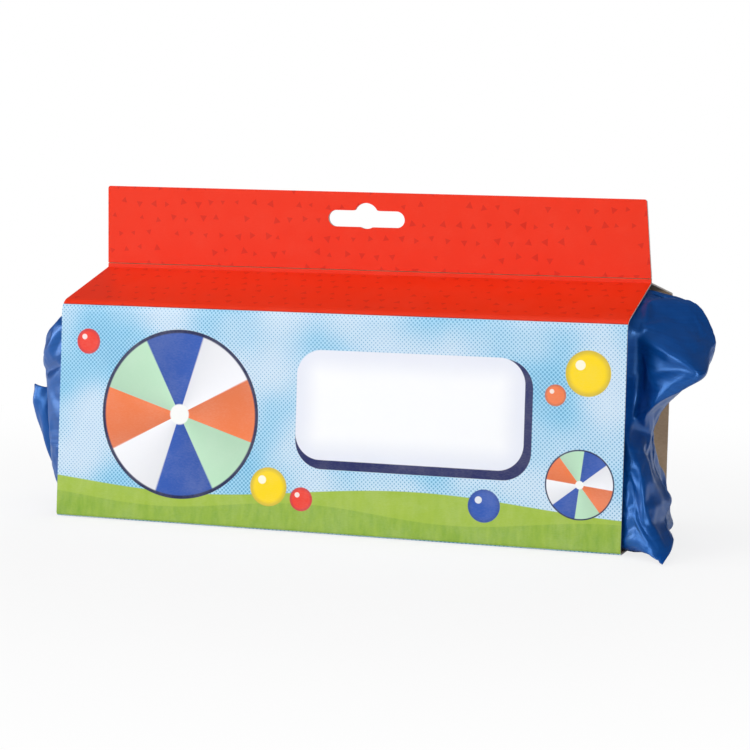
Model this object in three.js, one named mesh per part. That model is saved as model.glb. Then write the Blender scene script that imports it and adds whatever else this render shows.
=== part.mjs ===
import * as THREE from "three";

// Play parachute folded into its storage bag, in a carton sleeve with a hang header.
// Sizes are in millimetres. X runs along the sleeve, Y from its front to its back, Z up.
// The origin is the middle of the base panel's underside.

// Carton sleeve: one board blank, creased between its panels.
const sleeveLength = 228;
const sleeveDepth = 82;
const frontHeight = 85;
const backHeight = 92;
const boardThickness = 0.6;
const creaseGap = 0.3;
const frontRoofRadius = 5;
const creaseRadius = 1.5;

// Header: the two ends of the blank, glued face to face, folding on a score along the ridge.
const ridgeHeight = 99;
const headerHeight = 32;
const headerTaper = 1.2;
const headerCornerRadius = 1;
const glueLine = 0.1;
const scoreThickness = 0.4;
const scoreRise = 0.4;
const foldClearance = 0.2;

// Hang slot: the standard round-ended slot with a raised middle.
const slotWidth = 32;
const slotHeight = 6.6;
const slotFloor = 18;
const slotHumpWidth = 9.5;
const slotHumpHeight = 3.1;
const slotFilletRadius = 1.5;

// Storage bag: two cloth panels and the channel at its mouth.
const bagClearance = 0.5;
const bagWall = 1;
const bagCornerRadius = 12;
const seamGap = 0.3;
const seamAllowance = 4;
const endLead = 14;
const edgeClearance = 0.5;
const upperEarReach = 26.7;
const upperEarHeight = 75;
const upperEarHalf = 15;
const upperEarLean = 9;
const upperEarFace = 38;
const lowerEarReach = 18.3;
const lowerEarHeight = 8;
const lowerEarLean = 55;
const waistReach = 6;
const waistHeight = 44;
const earFloor = 1;
const mouthReach = 7.5;
const mouthFloor = 8;
const mouthHeight = 82;
const mouthLean = 15;
const mouthFrontPinch = 1.1;
const mouthBackPinch = 1.4;
const earBackPinch = 1.2;
const earTopPinch = 2.2;
const hemWidth = 8;
const hemTilt = 16.5;
const hemThickness = 5;
const hemWall = 1.2;
const hemLength = 42;

// Canopy: eight gores laid together, then folded to and fro across the bag.
const goreCount = 8;
const foldPasses = 7;
const layerGap = 0.3;
const headroom = 12;
const sideRoom = 2;
const crownThickness = 1.6;
const bindingWidth = 8;

// Handles: flattened webbing loops, in a row on top of the fold.
const handleCount = 12;
const handleLength = 52;
const webbingWidth = 14;
const webbingThickness = 1.2;
const loopGap = 2;
const handleSpacing = 2;

const gridRows = 22;
const endSteps = 8;

const halfLength = sleeveLength / 2;
const halfDepth = sleeveDepth / 2;
const headerHalf = glueLine / 2 + boardThickness;
const ridgeLine = ridgeHeight - headerHalf - foldClearance - 0.6 * boardThickness;

const printMaterial = new THREE.MeshStandardMaterial({ color: 0x8fd0e8 });
const redMaterial = new THREE.MeshStandardMaterial({ color: 0xe53a26 });
const bagMaterial = new THREE.MeshStandardMaterial({ color: 0x14479a });
const webbingMaterial = new THREE.MeshStandardMaterial({ color: 0x1d1d22 });
const whiteMaterial = new THREE.MeshStandardMaterial({ color: 0xf4f4f2 });
const goreFinishes = [
  ["orange", new THREE.MeshStandardMaterial({ color: 0xf29232 })],
  ["green", new THREE.MeshStandardMaterial({ color: 0xc4e3a0 })],
  ["white", whiteMaterial],
  ["blue", new THREE.MeshStandardMaterial({ color: 0x2a6fc0 })],
];

const part = new THREE.Group();
part.name = "play_parachute_pack";

function addNode(name, geometry, material) {
  const mesh = new THREE.Mesh(geometry, material);
  mesh.name = name;
  part.add(mesh);
  return mesh;
}

function point(a, b) {
  return new THREE.Vector2(a, b);
}

// A profile in the Y-Z plane, run along X and centred on it.
function alongX(shape, length) {
  const geometry = new THREE.ExtrudeGeometry(shape, { depth: length, bevelEnabled: false });
  geometry.rotateX(Math.PI / 2).rotateZ(Math.PI / 2);
  return geometry.translate(-length / 2, 0, 0);
}

// A profile in the X-Z plane, run back along Y from the given face.
function alongY(shape, front, depth, curveSegments) {
  const settings = { depth, bevelEnabled: false, curveSegments };
  const geometry = new THREE.ExtrudeGeometry(shape, settings);
  return geometry.rotateX(Math.PI / 2).translate(0, front + depth, 0);
}

// Points of the arc that rounds a corner, from one share of its bend to another.
function bend(before, corner, after, radius, fromShare, toShare, steps) {
  const into = corner.clone().sub(before).normalize();
  const out = after.clone().sub(corner).normalize();
  const turn = Math.atan2(into.cross(out), into.dot(out));
  const side = Math.sign(turn);
  const tangent = radius * Math.tan(Math.abs(turn) / 2);
  const start = corner.clone().addScaledVector(into, -tangent);
  const toCentre = point(-into.y, into.x).multiplyScalar(side * radius);
  const centre = start.clone().add(toCentre);
  const points = [];
  for (let i = 0; i <= steps; i++) {
    const share = fromShare + ((toShare - fromShare) * i) / steps;
    points.push(start.clone().rotateAround(centre, turn * share));
  }
  return points;
}

// The two faces of a strip of board, offset to both sides of its centreline.
function stripFaces(line, thickness) {
  const outer = [];
  const inner = [];
  line.forEach((p, i) => {
    const before = line[Math.max(i - 1, 0)];
    const after = line[Math.min(i + 1, line.length - 1)];
    const along = after.clone().sub(before).normalize();
    const normal = point(-along.y, along.x).multiplyScalar(thickness / 2);
    outer.push(p.clone().add(normal));
    inner.push(p.clone().sub(normal));
  });
  return { outer, inner };
}

// Creases of the sleeve's section, on the centreline of the board.
const sleeveCreases = [
  { at: point(0, ridgeLine), radius: 0 },
  { at: point(-halfDepth + boardThickness / 2, frontHeight), radius: frontRoofRadius },
  { at: point(-halfDepth + boardThickness / 2, boardThickness / 2), radius: creaseRadius },
  { at: point(halfDepth - boardThickness / 2, boardThickness / 2), radius: creaseRadius },
  { at: point(halfDepth - boardThickness / 2, backHeight), radius: creaseRadius },
  { at: point(0, ridgeLine), radius: 0 },
];

// Half of a crease's bend, short of its middle by half the gap between two panels.
function halfBend(index, firstHalf) {
  const { at, radius } = sleeveCreases[index];
  const before = sleeveCreases[index - 1].at;
  const after = sleeveCreases[index + 1].at;
  const into = at.clone().sub(before).normalize();
  const out = after.clone().sub(at).normalize();
  const bendLength = radius * Math.acos(into.dot(out));
  const share = 0.5 - creaseGap / (2 * bendLength);
  if (firstHalf) return bend(before, at, after, radius, 0, share, 3);
  return bend(before, at, after, radius, 1 - share, 1, 3);
}

function wallPanel(index) {
  const line = [...halfBend(index, false), ...halfBend(index + 1, true)];
  const { outer, inner } = stripFaces(line, boardThickness);
  return new THREE.Shape([...outer, ...inner.reverse()]);
}

// A roof panel ends at the ridge in a thinned lip, on which the header folds.
function roofPanel(side) {
  const bendPoints = side < 0 ? halfBend(1, true).reverse() : halfBend(4, false);
  const ridge = point(side * (glueLine / 2), ridgeLine);
  const { outer, inner } = stripFaces([...bendPoints, ridge], boardThickness);
  const upper = side < 0 ? outer : inner;
  const lower = side < 0 ? inner : outer;
  const lipInner = side * (glueLine / 2);
  const lipOuter = side * (glueLine / 2 + scoreThickness);
  const lipTop = ridgeHeight + scoreRise;
  const heightAt = (face, y) => {
    const [a, b] = face.slice(-2);
    return a.y + ((b.y - a.y) * (y - a.x)) / (b.x - a.x);
  };
  return new THREE.Shape([
    ...upper.slice(0, -1),
    point(lipOuter, heightAt(upper, lipOuter)),
    point(lipOuter, lipTop),
    point(lipInner, lipTop),
    point(lipInner, heightAt(lower, lipInner)),
    ...lower.slice(0, -1).reverse(),
  ]);
}

addNode("sleeve_front_panel", alongX(wallPanel(1), sleeveLength), printMaterial);
addNode("sleeve_base_panel", alongX(wallPanel(2), sleeveLength), printMaterial);
addNode("sleeve_back_panel", alongX(wallPanel(3), sleeveLength), printMaterial);
addNode("sleeve_front_roof", alongX(roofPanel(-1), sleeveLength), redMaterial);
addNode("sleeve_back_roof", alongX(roofPanel(1), sleeveLength), redMaterial);

// The hang slot's outline, with its raised middle blended into the slot.
function hangSlot() {
  const end = slotHeight / 2;
  const reach = slotWidth / 2 - end;
  const floor = ridgeHeight + slotFloor;
  const top = floor + slotHeight;
  const halfHump = slotHumpWidth / 2;
  const humpRadius = (halfHump ** 2 + slotHumpHeight ** 2) / (2 * slotHumpHeight);
  const humpDrop = humpRadius - slotHumpHeight;
  const r = slotFilletRadius;
  const filletX = Math.sqrt((humpRadius + r) ** 2 - (r + humpDrop) ** 2);
  const lean = Math.atan2(r + humpDrop, filletX);
  const slot = new THREE.Path();
  slot.moveTo(-reach, floor);
  slot.lineTo(reach, floor);
  slot.absarc(reach, floor + end, end, -Math.PI / 2, Math.PI / 2, false);
  slot.absarc(filletX, top + r, r, -Math.PI / 2, -Math.PI + lean, true);
  slot.absarc(0, top - humpDrop, humpRadius, lean, Math.PI - lean, false);
  slot.absarc(-filletX, top + r, r, -lean, -Math.PI / 2, true);
  slot.absarc(-reach, floor + end, end, Math.PI / 2, (3 * Math.PI) / 2, false);
  return slot;
}

function headerPly() {
  const foot = ridgeHeight + scoreRise + creaseGap;
  const top = ridgeHeight + headerHeight;
  const halfTop = halfLength - headerTaper;
  const r = headerCornerRadius;
  const ply = new THREE.Shape();
  ply.moveTo(-halfLength, foot);
  ply.lineTo(halfLength, foot);
  ply.lineTo(halfTop, top - r);
  ply.quadraticCurveTo(halfTop, top, halfTop - r, top);
  ply.lineTo(-halfTop + r, top);
  ply.quadraticCurveTo(-halfTop, top, -halfTop, top - r);
  ply.holes.push(hangSlot());
  return ply;
}

const frontPly = alongY(headerPly(), -headerHalf, boardThickness, 6);
addNode("header_front_ply", frontPly, redMaterial);
const backPly = alongY(headerPly(), glueLine / 2, boardThickness, 6);
addNode("header_back_ply", backPly, redMaterial);

// The sleeve's inner section, drawn in by a distance from the board's centreline.
function insetSection(distance) {
  const corners = sleeveCreases.slice(0, 5).map((crease) => crease.at);
  const count = corners.length;
  const lines = corners.map((a, i) => {
    const along = corners[(i + 1) % count].clone().sub(a).normalize();
    const inward = point(-along.y, along.x).multiplyScalar(distance);
    return { from: a.clone().add(inward), along };
  });
  return lines.map((line, i) => {
    const last = lines[(i + count - 1) % count];
    const offset = line.from.clone().sub(last.from);
    const share = offset.cross(line.along) / last.along.cross(line.along);
    return last.from.clone().addScaledVector(last.along, share);
  });
}

// The same section with its corners rounded, from the middle of the floor round by the back.
function roundSection(distance, radius) {
  const corners = insetSection(distance);
  const count = corners.length;
  const order = [3, 4, 0, 1, 2];
  return order.flatMap((i) => {
    const before = corners[(i + count - 1) % count];
    return bend(before, corners[i], corners[(i + 1) % count], radius, 0, 1, 12);
  });
}

// Even points along a line, from its start to its end.
function spread(line, steps) {
  const path = new THREE.CurvePath();
  line.slice(1).forEach((p, i) => path.add(new THREE.LineCurve(line[i], p)));
  return path.getSpacedPoints(steps);
}

// One side of the bag's section, from the middle of its floor to the top.
function halfSection(distance, radius, side) {
  const section = roundSection(distance, radius);
  const crossing = section.findIndex((p) => p.x <= 0);
  const last = section[crossing - 1];
  const top = last.clone().lerp(section[crossing], last.x / (last.x - section[crossing].x));
  const floor = point(0, section[0].y);
  const half = side < 0 ? section.slice(crossing).reverse() : section.slice(0, crossing);
  return spread([floor, ...half, top], gridRows);
}

// A smooth line through knots that give their share of the way up, and then their place.
function lineThrough(knots) {
  const curve = new THREE.CatmullRomCurve3(knots.map(([, ...at]) => new THREE.Vector3(...at)));
  return Array.from({ length: gridRows + 1 }, (_, j) => {
    const share = j / gridRows;
    const next = Math.max(
      knots.findIndex(([at]) => at >= share),
      1,
    );
    const from = knots[next - 1][0];
    const part = (share - from) / (knots[next][0] - from);
    return curve.getPoint((next - 1 + part) / (knots.length - 1));
  });
}

// The seam of the right end, which swings to the front as it drops to the lower ear.
function rightSeam(allowance) {
  const x = halfLength - allowance;
  const lean = 1 - allowance / 30;
  const low = -lowerEarLean * lean;
  const high = -upperEarLean * lean;
  const floor = earFloor + allowance / 3;
  return lineThrough([
    [0, x + 0.71 * lowerEarReach, 0.73 * low, floor],
    [0.12, x + 0.87 * lowerEarReach, 0.91 * low, floor],
    [0.2, x + lowerEarReach, low, floor],
    [0.27, x + 0.92 * lowerEarReach, 0.65 * low, floor + 0.85 * lowerEarHeight],
    [0.35, x + 0.78 * lowerEarReach, 0.36 * low, floor + 2.15 * lowerEarHeight],
    [0.45, x + 1.13 * waistReach, 0.3 * low, 0.8 * waistHeight],
    [0.53, x + waistReach, 1.33 * high, waistHeight],
    [0.6, x + 0.37 * upperEarReach, 2 * high, upperEarHeight - 1.49 * upperEarHalf],
    [0.66, x + 0.82 * upperEarReach, 2.1 * high, upperEarHeight - 0.7 * upperEarHalf],
    [0.73, x + upperEarReach, high, upperEarHeight],
    [0.81, x + 0.876 * upperEarReach, 0.9 * high, upperEarHeight + 0.6 * upperEarHalf],
    [0.9, x + 0.667 * upperEarReach, 0.45 * high, upperEarHeight + upperEarHalf - allowance / 3],
    [1, x + 0.26 * upperEarReach, 0, upperEarHeight + 1.3 * upperEarHalf - allowance / 3],
  ]);
}

// Two lines on the front of the right end, between the sleeve's edge and the seam. The upper ear
// has a flat face with a ridge above it, and the lower ear stands out in front of the sleeve.
function earFront(allowance) {
  const x = halfLength - allowance / 2;
  const lean = 1 - allowance / 30;
  const low = -lowerEarLean * lean;
  const face = -upperEarFace * lean;
  const floor = earFloor + allowance / 3;
  const crest = upperEarHeight + upperEarHalf - allowance / 3;
  const middle = lineThrough([
    [0, x + 0.27 * lowerEarReach, 0.22 * low, floor],
    [0.12, x + 0.27 * lowerEarReach, 0.51 * low, floor],
    [0.2, x + 0.27 * lowerEarReach, 0.745 * low, floor + 0.08 * lowerEarHeight],
    [0.27, x + 0.26 * lowerEarReach, 0.82 * low, floor + 0.95 * lowerEarHeight],
    [0.35, x + 0.19 * lowerEarReach, 0.81 * low, floor + 2.45 * lowerEarHeight],
    [0.45, x + 0.28 * waistReach, 0.73 * low, 0.83 * waistHeight],
    [0.53, x + 0.3 * waistReach, 0.74 * face, 1.07 * waistHeight],
    [0.6, x + 0.28 * upperEarReach, 0.9 * face, upperEarHeight - 1.2 * upperEarHalf],
    [0.66, x + 0.27 * upperEarReach, 0.9 * face, upperEarHeight - 0.6 * upperEarHalf],
    [0.73, x + 0.26 * upperEarReach, 0.82 * face, upperEarHeight + 0.1 * upperEarHalf],
    [0.81, x + 0.24 * upperEarReach, 0.62 * face, crest - 0.37 * upperEarHalf],
    [0.9, x + 0.19 * upperEarReach, 0.37 * face, crest + 0.04 * upperEarHalf],
    [1, x + 0.09 * upperEarReach, 0, crest + 0.29 * upperEarHalf],
  ]);
  const outer = lineThrough([
    [0, x + 0.55 * lowerEarReach, 0.51 * low, floor],
    [0.12, x + 0.66 * lowerEarReach, 0.76 * low, floor],
    [0.2, x + 0.71 * lowerEarReach, 0.91 * low, floor + 0.04 * lowerEarHeight],
    [0.27, x + 0.71 * lowerEarReach, 0.88 * low, floor + 0.75 * lowerEarHeight],
    [0.35, x + 0.55 * lowerEarReach, 0.81 * low, floor + 2.2 * lowerEarHeight],
    [0.45, x + 0.8 * waistReach, 0.61 * low, 0.78 * waistHeight],
    [0.53, x + 0.63 * waistReach, 0.56 * face, 1.03 * waistHeight],
    [0.6, x + 0.41 * upperEarReach, 0.99 * face, upperEarHeight - 1.33 * upperEarHalf],
    [0.66, x + 0.82 * upperEarReach, 1.02 * face, upperEarHeight - 0.8 * upperEarHalf],
    [0.73, x + 0.82 * upperEarReach, 0.96 * face, upperEarHeight - 0.2 * upperEarHalf],
    [0.81, x + 0.66 * upperEarReach, 0.47 * face, crest - 0.47 * upperEarHalf],
    [0.9, x + 0.49 * upperEarReach, 0.22 * face, crest + 0.04 * upperEarHalf],
    [1, x + 0.22 * upperEarReach, 0, crest + 0.27 * upperEarHalf],
  ]);
  return [middle, outer];
}

// The mouth slopes outwards as it rises, swells above its channel and turns in at its top.
function leftSeam(allowance) {
  const x = -halfLength - mouthReach + allowance;
  const y = -mouthLean;
  const slope = hemLength * Math.tan(THREE.MathUtils.degToRad(hemTilt));
  const knee = mouthFloor + hemLength;
  return lineThrough([
    [0, x, 0.8 * y, mouthFloor + allowance / 3],
    [0.35, x - 0.35 * slope, y, mouthFloor + 0.35 * hemLength],
    [0.6, x - slope, y, knee],
    [0.7, x - 1.1 * slope, y, knee + 0.28 * (mouthHeight - knee)],
    [0.8, x - 0.87 * slope, 0.87 * y, knee + 0.62 * (mouthHeight - knee)],
    [0.9, x - 0.3 * slope, 0.6 * y, mouthHeight - allowance / 3],
    [1, x + 0.4 * slope, 0.13 * y, mouthHeight + 0.25 * (mouthHeight - knee) - allowance / 3],
  ]);
}

// Rows of points from the sleeve's section to a seam, drawn in to it in one round sweep.
function sweptRows(section, start, seam, lowPinch, highPinch) {
  return Array.from({ length: endSteps + 1 }, (_, i) => {
    const angle = (Math.PI / 2) * (i / endSteps);
    return section.map((p, j) => {
      const pinch = lowPinch + ((highPinch - lowPinch) * j) / gridRows;
      const kept = i === endSteps ? 0 : Math.cos(angle) ** pinch;
      const x = start + (seam[j].x - start) * Math.sin(angle);
      const y = seam[j].y + (p.x - seam[j].y) * kept;
      return new THREE.Vector3(x, y, seam[j].z + (p.y - seam[j].z) * kept);
    });
  });
}

// Rows of points that pass smoothly over a set of lines.
function linedRows(lines, steps) {
  const curves = lines[0].map((_, j) => new THREE.CatmullRomCurve3(lines.map((line) => line[j])));
  return Array.from({ length: steps + 1 }, (_, i) => curves.map((c) => c.getPoint(i / steps)));
}

// Rows of points over one side of the bag, from the seam at its mouth to the one at its ears.
function bagRows(side, depth) {
  const section = halfSection(boardThickness / 2 + bagClearance + depth, bagCornerRadius - depth, side);
  const allowance = depth > 0 ? seamAllowance : 0;
  const start = halfLength - endLead;
  const mouthPinch = side < 0 ? mouthFrontPinch : mouthBackPinch;
  const left = sweptRows(section, -start, leftSeam(allowance), mouthPinch, mouthPinch);
  const seam = rightSeam(allowance);
  if (side > 0) return [...left.reverse(), ...sweptRows(section, start, seam, earBackPinch, earTopPinch)];
  const sectionAt = (x) => section.map((p) => new THREE.Vector3(x, p.x, p.y));
  const edge = halfLength + edgeClearance - depth;
  const ears = linedRows([sectionAt(edge), ...earFront(allowance), seam], endSteps - 1);
  return [...left.reverse(), sectionAt(start), ...ears];
}

// The same rows, with the back joined to the front along the floor and the top.
function bagSurface(side, depth) {
  const front = bagRows(-1, depth);
  const rows = side < 0 ? front : bagRows(1, depth);
  const shift = new THREE.Vector3(0, (side * seamGap) / 2, 0);
  return rows.map((row, i) =>
    row.map((p, j) => {
      const shared = j === 0 || j === gridRows;
      return (shared ? front[i][j] : p).clone().add(shift);
    }),
  );
}

// One cloth panel: an outer and an inner surface, closed along the seam all round.
function bagPanel(side) {
  const outer = bagSurface(side, 0);
  const inner = bagSurface(side, bagWall);
  const rows = outer.length;
  const columns = gridRows + 1;
  const positions = [...outer.flat(), ...inner.flat()].flatMap((p) => p.toArray());
  const triangles = [];
  const quad = (a, b, c, d) => {
    const corners = side < 0 ? [a, b, c, a, c, d] : [a, c, b, a, d, c];
    triangles.push(...corners);
  };
  const out = (i, j) => i * columns + j;
  const inn = (i, j) => rows * columns + i * columns + j;
  for (let i = 0; i < rows - 1; i++) {
    for (let j = 0; j < columns - 1; j++) {
      quad(out(i, j), out(i + 1, j), out(i + 1, j + 1), out(i, j + 1));
      quad(inn(i, j), inn(i, j + 1), inn(i + 1, j + 1), inn(i + 1, j));
    }
    const last = columns - 1;
    quad(out(i, 0), inn(i, 0), inn(i + 1, 0), out(i + 1, 0));
    quad(out(i, last), out(i + 1, last), inn(i + 1, last), inn(i, last));
  }
  for (let j = 0; j < columns - 1; j++) {
    const end = rows - 1;
    quad(out(0, j), out(0, j + 1), inn(0, j + 1), inn(0, j));
    quad(out(end, j), inn(end, j), inn(end, j + 1), out(end, j + 1));
  }
  const geometry = new THREE.BufferGeometry();
  geometry.setAttribute("position", new THREE.Float32BufferAttribute(positions, 3));
  geometry.setIndex(triangles);
  geometry.computeVertexNormals();
  return geometry;
}

addNode("bag_front_panel", bagPanel(-1), bagMaterial);
addNode("bag_back_panel", bagPanel(1), bagMaterial);

// A round-ended outline, centred on the given point.
function roundEnded(kind, centre, length, height) {
  const r = height / 2;
  const reach = length / 2 - r;
  const outline = new kind();
  outline.moveTo(centre.x - reach, centre.y - r);
  outline.lineTo(centre.x + reach, centre.y - r);
  outline.absarc(centre.x + reach, centre.y, r, -Math.PI / 2, Math.PI / 2, false);
  outline.lineTo(centre.x - reach, centre.y + r);
  outline.absarc(centre.x - reach, centre.y, r, Math.PI / 2, (3 * Math.PI) / 2, false);
  return outline;
}

function flatTube(centre, length, height, wall) {
  const outline = roundEnded(THREE.Shape, centre, length, height);
  outline.holes.push(roundEnded(THREE.Path, centre, length - 2 * wall, height - 2 * wall));
  return outline;
}

// The drawstring channel, an open tube along the lower part of the mouth.
const hemSection = flatTube(point(-hemWidth / 2, 0), hemWidth, hemThickness, hemWall);
const hem = new THREE.ExtrudeGeometry(hemSection, {
  depth: hemLength,
  bevelEnabled: false,
  curveSegments: 8,
});
hem.rotateY(-THREE.MathUtils.degToRad(hemTilt));
hem.translate(-halfLength - mouthReach - 2 * seamGap, -mouthLean, mouthFloor);
addNode("bag_mouth_hem", hem, bagMaterial);

// One edge of a folded layer: runs to and fro, joined by round turns.
function foldLine(level, fold) {
  const points = [];
  for (let pass = 0; pass < fold.passes; pass++) {
    const rising = pass % 2 === 0;
    const lift = rising ? level : fold.passHeight - level;
    const z = fold.base + pass * fold.passHeight + lift;
    const end = rising ? fold.run / 2 : -fold.run / 2;
    points.push(point(-end, z), point(end, z));
    if (pass === fold.passes - 1) break;
    const radius = fold.passHeight - lift;
    const centre = point(end, fold.base + (pass + 1) * fold.passHeight);
    const steps = 2 + Math.round(0.6 * radius);
    for (let s = 1; s < steps; s++) {
      const angle = (Math.PI * s) / steps;
      const reach = Math.sign(end) * radius * Math.sin(angle);
      points.push(point(centre.x + reach, centre.y - radius * Math.cos(angle)));
    }
  }
  return points;
}

function foldedLayer(lowEdge, highEdge, fold) {
  return new THREE.Shape([...foldLine(lowEdge, fold), ...foldLine(highEdge, fold).reverse()]);
}

const bagFloor = boardThickness + bagClearance + bagWall;
const crownFloor = bagFloor + layerGap;
const foldBase = crownFloor + crownThickness + layerGap;
const foldTop = frontHeight - headroom;
const passHeight = (foldTop - foldBase) / foldPasses;
const gorePitch = passHeight / goreCount;
const bagInside = halfDepth - boardThickness - bagClearance - bagWall;
const foldRun = 2 * (bagInside - sideRoom - passHeight);
const foldWidth = sleeveLength - 2 * endLead;

const canopyFold = { passes: foldPasses, passHeight, run: foldRun, base: foldBase };
for (let i = 0; i < goreCount; i++) {
  const lowEdge = i * gorePitch + layerGap / 2;
  const highEdge = (i + 1) * gorePitch - layerGap / 2;
  const [colour, material] = goreFinishes[i % goreFinishes.length];
  const copy = 1 + Math.floor(i / goreFinishes.length);
  const layer = foldedLayer(lowEdge, highEdge, canopyFold);
  addNode(`gore_${colour}_${copy}`, alongX(layer, foldWidth), material);
}

// The crown lies under the first run of the fold, folded down to a narrow sector.
function crownSector() {
  const half = Math.PI / 8;
  const sector = new THREE.Shape();
  sector.moveTo(0, 0);
  sector.absarc(0, 0, foldRun, -half, half, false);
  sector.lineTo(0, 0);
  return sector;
}

const crown = new THREE.ExtrudeGeometry(crownSector(), {
  depth: crownThickness,
  bevelEnabled: false,
  curveSegments: 16,
});
addNode("crown_disc", crown.translate(-foldRun / 2, 0, crownFloor), whiteMaterial);

// The binding of the rim, folded at the gores' outer ends in the last run.
const bindingFold = {
  passes: goreCount,
  passHeight: gorePitch,
  run: foldWidth - 2 * gorePitch,
  base: foldTop - passHeight,
};
const bindingLayer = foldedLayer(layerGap / 2, gorePitch - layerGap / 2, bindingFold);
const bindingFront = foldRun / 2 + layerGap;
addNode("rim_binding", alongY(bindingLayer, bindingFront, bindingWidth, 12), webbingMaterial);

const loopHeight = 2 * webbingThickness + loopGap;
const loopMiddle = point(
  bindingFront + bindingWidth - handleLength / 2,
  foldTop + layerGap + loopHeight / 2,
);
for (let i = 0; i < handleCount; i++) {
  const loop = flatTube(loopMiddle, handleLength, loopHeight, webbingThickness);
  const x = (i - (handleCount - 1) / 2) * (webbingWidth + handleSpacing);
  const name = `handle_${String(i + 1).padStart(2, "0")}`;
  addNode(name, alongX(loop, webbingWidth).translate(x, 0, 0), webbingMaterial);
}

export default part;
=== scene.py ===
"""Looks of a packed play parachute, built around its solid model.

A carton sleeve with a hang header holds a soft storage bag, and the bag holds the folded canopy
with its handles. Lengths are in metres, in the frame of the solid model: X runs along the sleeve,
Y from its front to its back, Z up.
"""

import logging
import math
from collections.abc import Callable, Iterator, Sequence
from contextlib import contextmanager
from dataclasses import dataclass, field
from enum import Enum
from functools import cached_property

import bpy
import numpy as np
from bpy.types import Material, Node, NodeSocket, NodeTree, Object
from mathutils import Matrix, Vector

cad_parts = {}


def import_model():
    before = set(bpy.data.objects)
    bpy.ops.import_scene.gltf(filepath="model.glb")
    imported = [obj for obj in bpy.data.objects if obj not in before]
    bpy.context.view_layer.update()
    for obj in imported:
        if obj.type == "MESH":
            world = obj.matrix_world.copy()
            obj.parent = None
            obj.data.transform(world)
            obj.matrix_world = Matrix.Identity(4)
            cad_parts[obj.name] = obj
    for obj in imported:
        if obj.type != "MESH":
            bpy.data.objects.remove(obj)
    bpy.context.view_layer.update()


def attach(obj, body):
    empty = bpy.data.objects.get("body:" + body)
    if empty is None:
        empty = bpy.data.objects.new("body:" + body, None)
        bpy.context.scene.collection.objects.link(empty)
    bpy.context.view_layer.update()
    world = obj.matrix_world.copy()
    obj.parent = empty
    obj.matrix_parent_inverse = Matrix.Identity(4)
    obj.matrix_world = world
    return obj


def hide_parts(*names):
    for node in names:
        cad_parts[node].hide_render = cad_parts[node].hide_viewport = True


log = logging.getLogger("play_parachute")

MM = 0.001
Colour = tuple[float, float, float, float]
Knot = tuple[float, float, float, float]
Place = tuple[float, float, float]


def tint(red: int, green: int, blue: int) -> Colour:
    """Turn a screen colour into a scene colour.

    Args:
        red: Red, from 0 to 255.
        green: Green, from 0 to 255.
        blue: Blue, from 0 to 255.

    Returns:
        The linear colour with full alpha.
    """
    shares = [channel / 255 for channel in (red, green, blue)]
    light = [s / 12.92 if s <= 0.04045 else ((s + 0.055) / 1.055) ** 2.4 for s in shares]
    return (light[0], light[1], light[2], 1.0)


class Body(Enum):
    """Bodies of the solid model that pieces ride on."""

    SLEEVE = "sleeve"
    HEADER = "header"
    BUNDLE = "bundle"


class Slot(Enum):
    """Material slots of the record."""

    PRINT = "printed_board"
    RED = "red_board"
    BAG = "bag_cloth"
    ORANGE = "orange_cloth"
    GREEN = "green_cloth"
    WHITE = "white_cloth"
    BLUE = "blue_cloth"
    WEBBING = "webbing"


class Side(Enum):
    """The two sides of the pack, by the sign of Y."""

    FRONT = -1
    BACK = 1


def activate(obj: Object) -> None:
    """Make an object the only selected one, and the active one."""
    bpy.ops.object.select_all(action="DESELECT")
    obj.select_set(True)
    bpy.context.view_layer.objects.active = obj


@contextmanager
def editing(obj: Object) -> Iterator[None]:
    """Hold an object in edit mode.

    Args:
        obj: The mesh object to edit.
    """
    activate(obj)
    bpy.ops.object.mode_set(mode="EDIT")
    yield
    bpy.ops.object.mode_set(mode="OBJECT")


def added(name: str) -> Object:
    """Name the object that an operator has just added, and fix its place in its mesh.

    Args:
        name: The new name.

    Returns:
        The object, at the origin.
    """
    obj = bpy.context.object
    obj.name = name
    obj.data.name = name
    bpy.ops.object.transform_apply(location=True, rotation=True, scale=True)
    return obj


def choose_points(obj: Object, test: Callable[[Vector], bool]) -> None:
    """Select the vertices that pass a test, with the edges and faces between them.

    Args:
        obj: The mesh object.
        test: Says of a place whether it is chosen.
    """
    bpy.context.tool_settings.mesh_select_mode = (True, False, False)
    mesh = obj.data
    for vertex in mesh.vertices:
        vertex.select = test(vertex.co)
    for edge in mesh.edges:
        edge.select = all(mesh.vertices[i].select for i in edge.vertices)
    for face in mesh.polygons:
        face.select = all(mesh.vertices[i].select for i in face.vertices)


def choose_edges(obj: Object, test: Callable[[Vector, Vector], bool]) -> None:
    """Select the edges whose two ends pass a test, and nothing else.

    Args:
        obj: The mesh object.
        test: Says of an edge's two ends whether it is chosen.
    """
    bpy.context.tool_settings.mesh_select_mode = (False, True, False)
    mesh = obj.data
    for item in (*mesh.vertices, *mesh.polygons):
        item.select = False
    for edge in mesh.edges:
        first, second = (mesh.vertices[i] for i in edge.vertices)
        edge.select = test(first.co, second.co)
        if edge.select:
            first.select = True
            second.select = True


def face_outwards(obj: Object, outward: Vector) -> None:
    """Make an open sheet's faces agree, and point to one side.

    Args:
        obj: The mesh object.
        outward: The direction that the sheet faces.
    """
    with editing(obj):
        bpy.ops.mesh.select_all(action="SELECT")
        bpy.ops.mesh.normals_make_consistent(inside=False)
    facing = sum(face.area * face.normal.dot(outward) for face in obj.data.polygons)
    if facing < 0:
        with editing(obj):
            bpy.ops.mesh.select_all(action="SELECT")
            bpy.ops.mesh.flip_normals()


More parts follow.
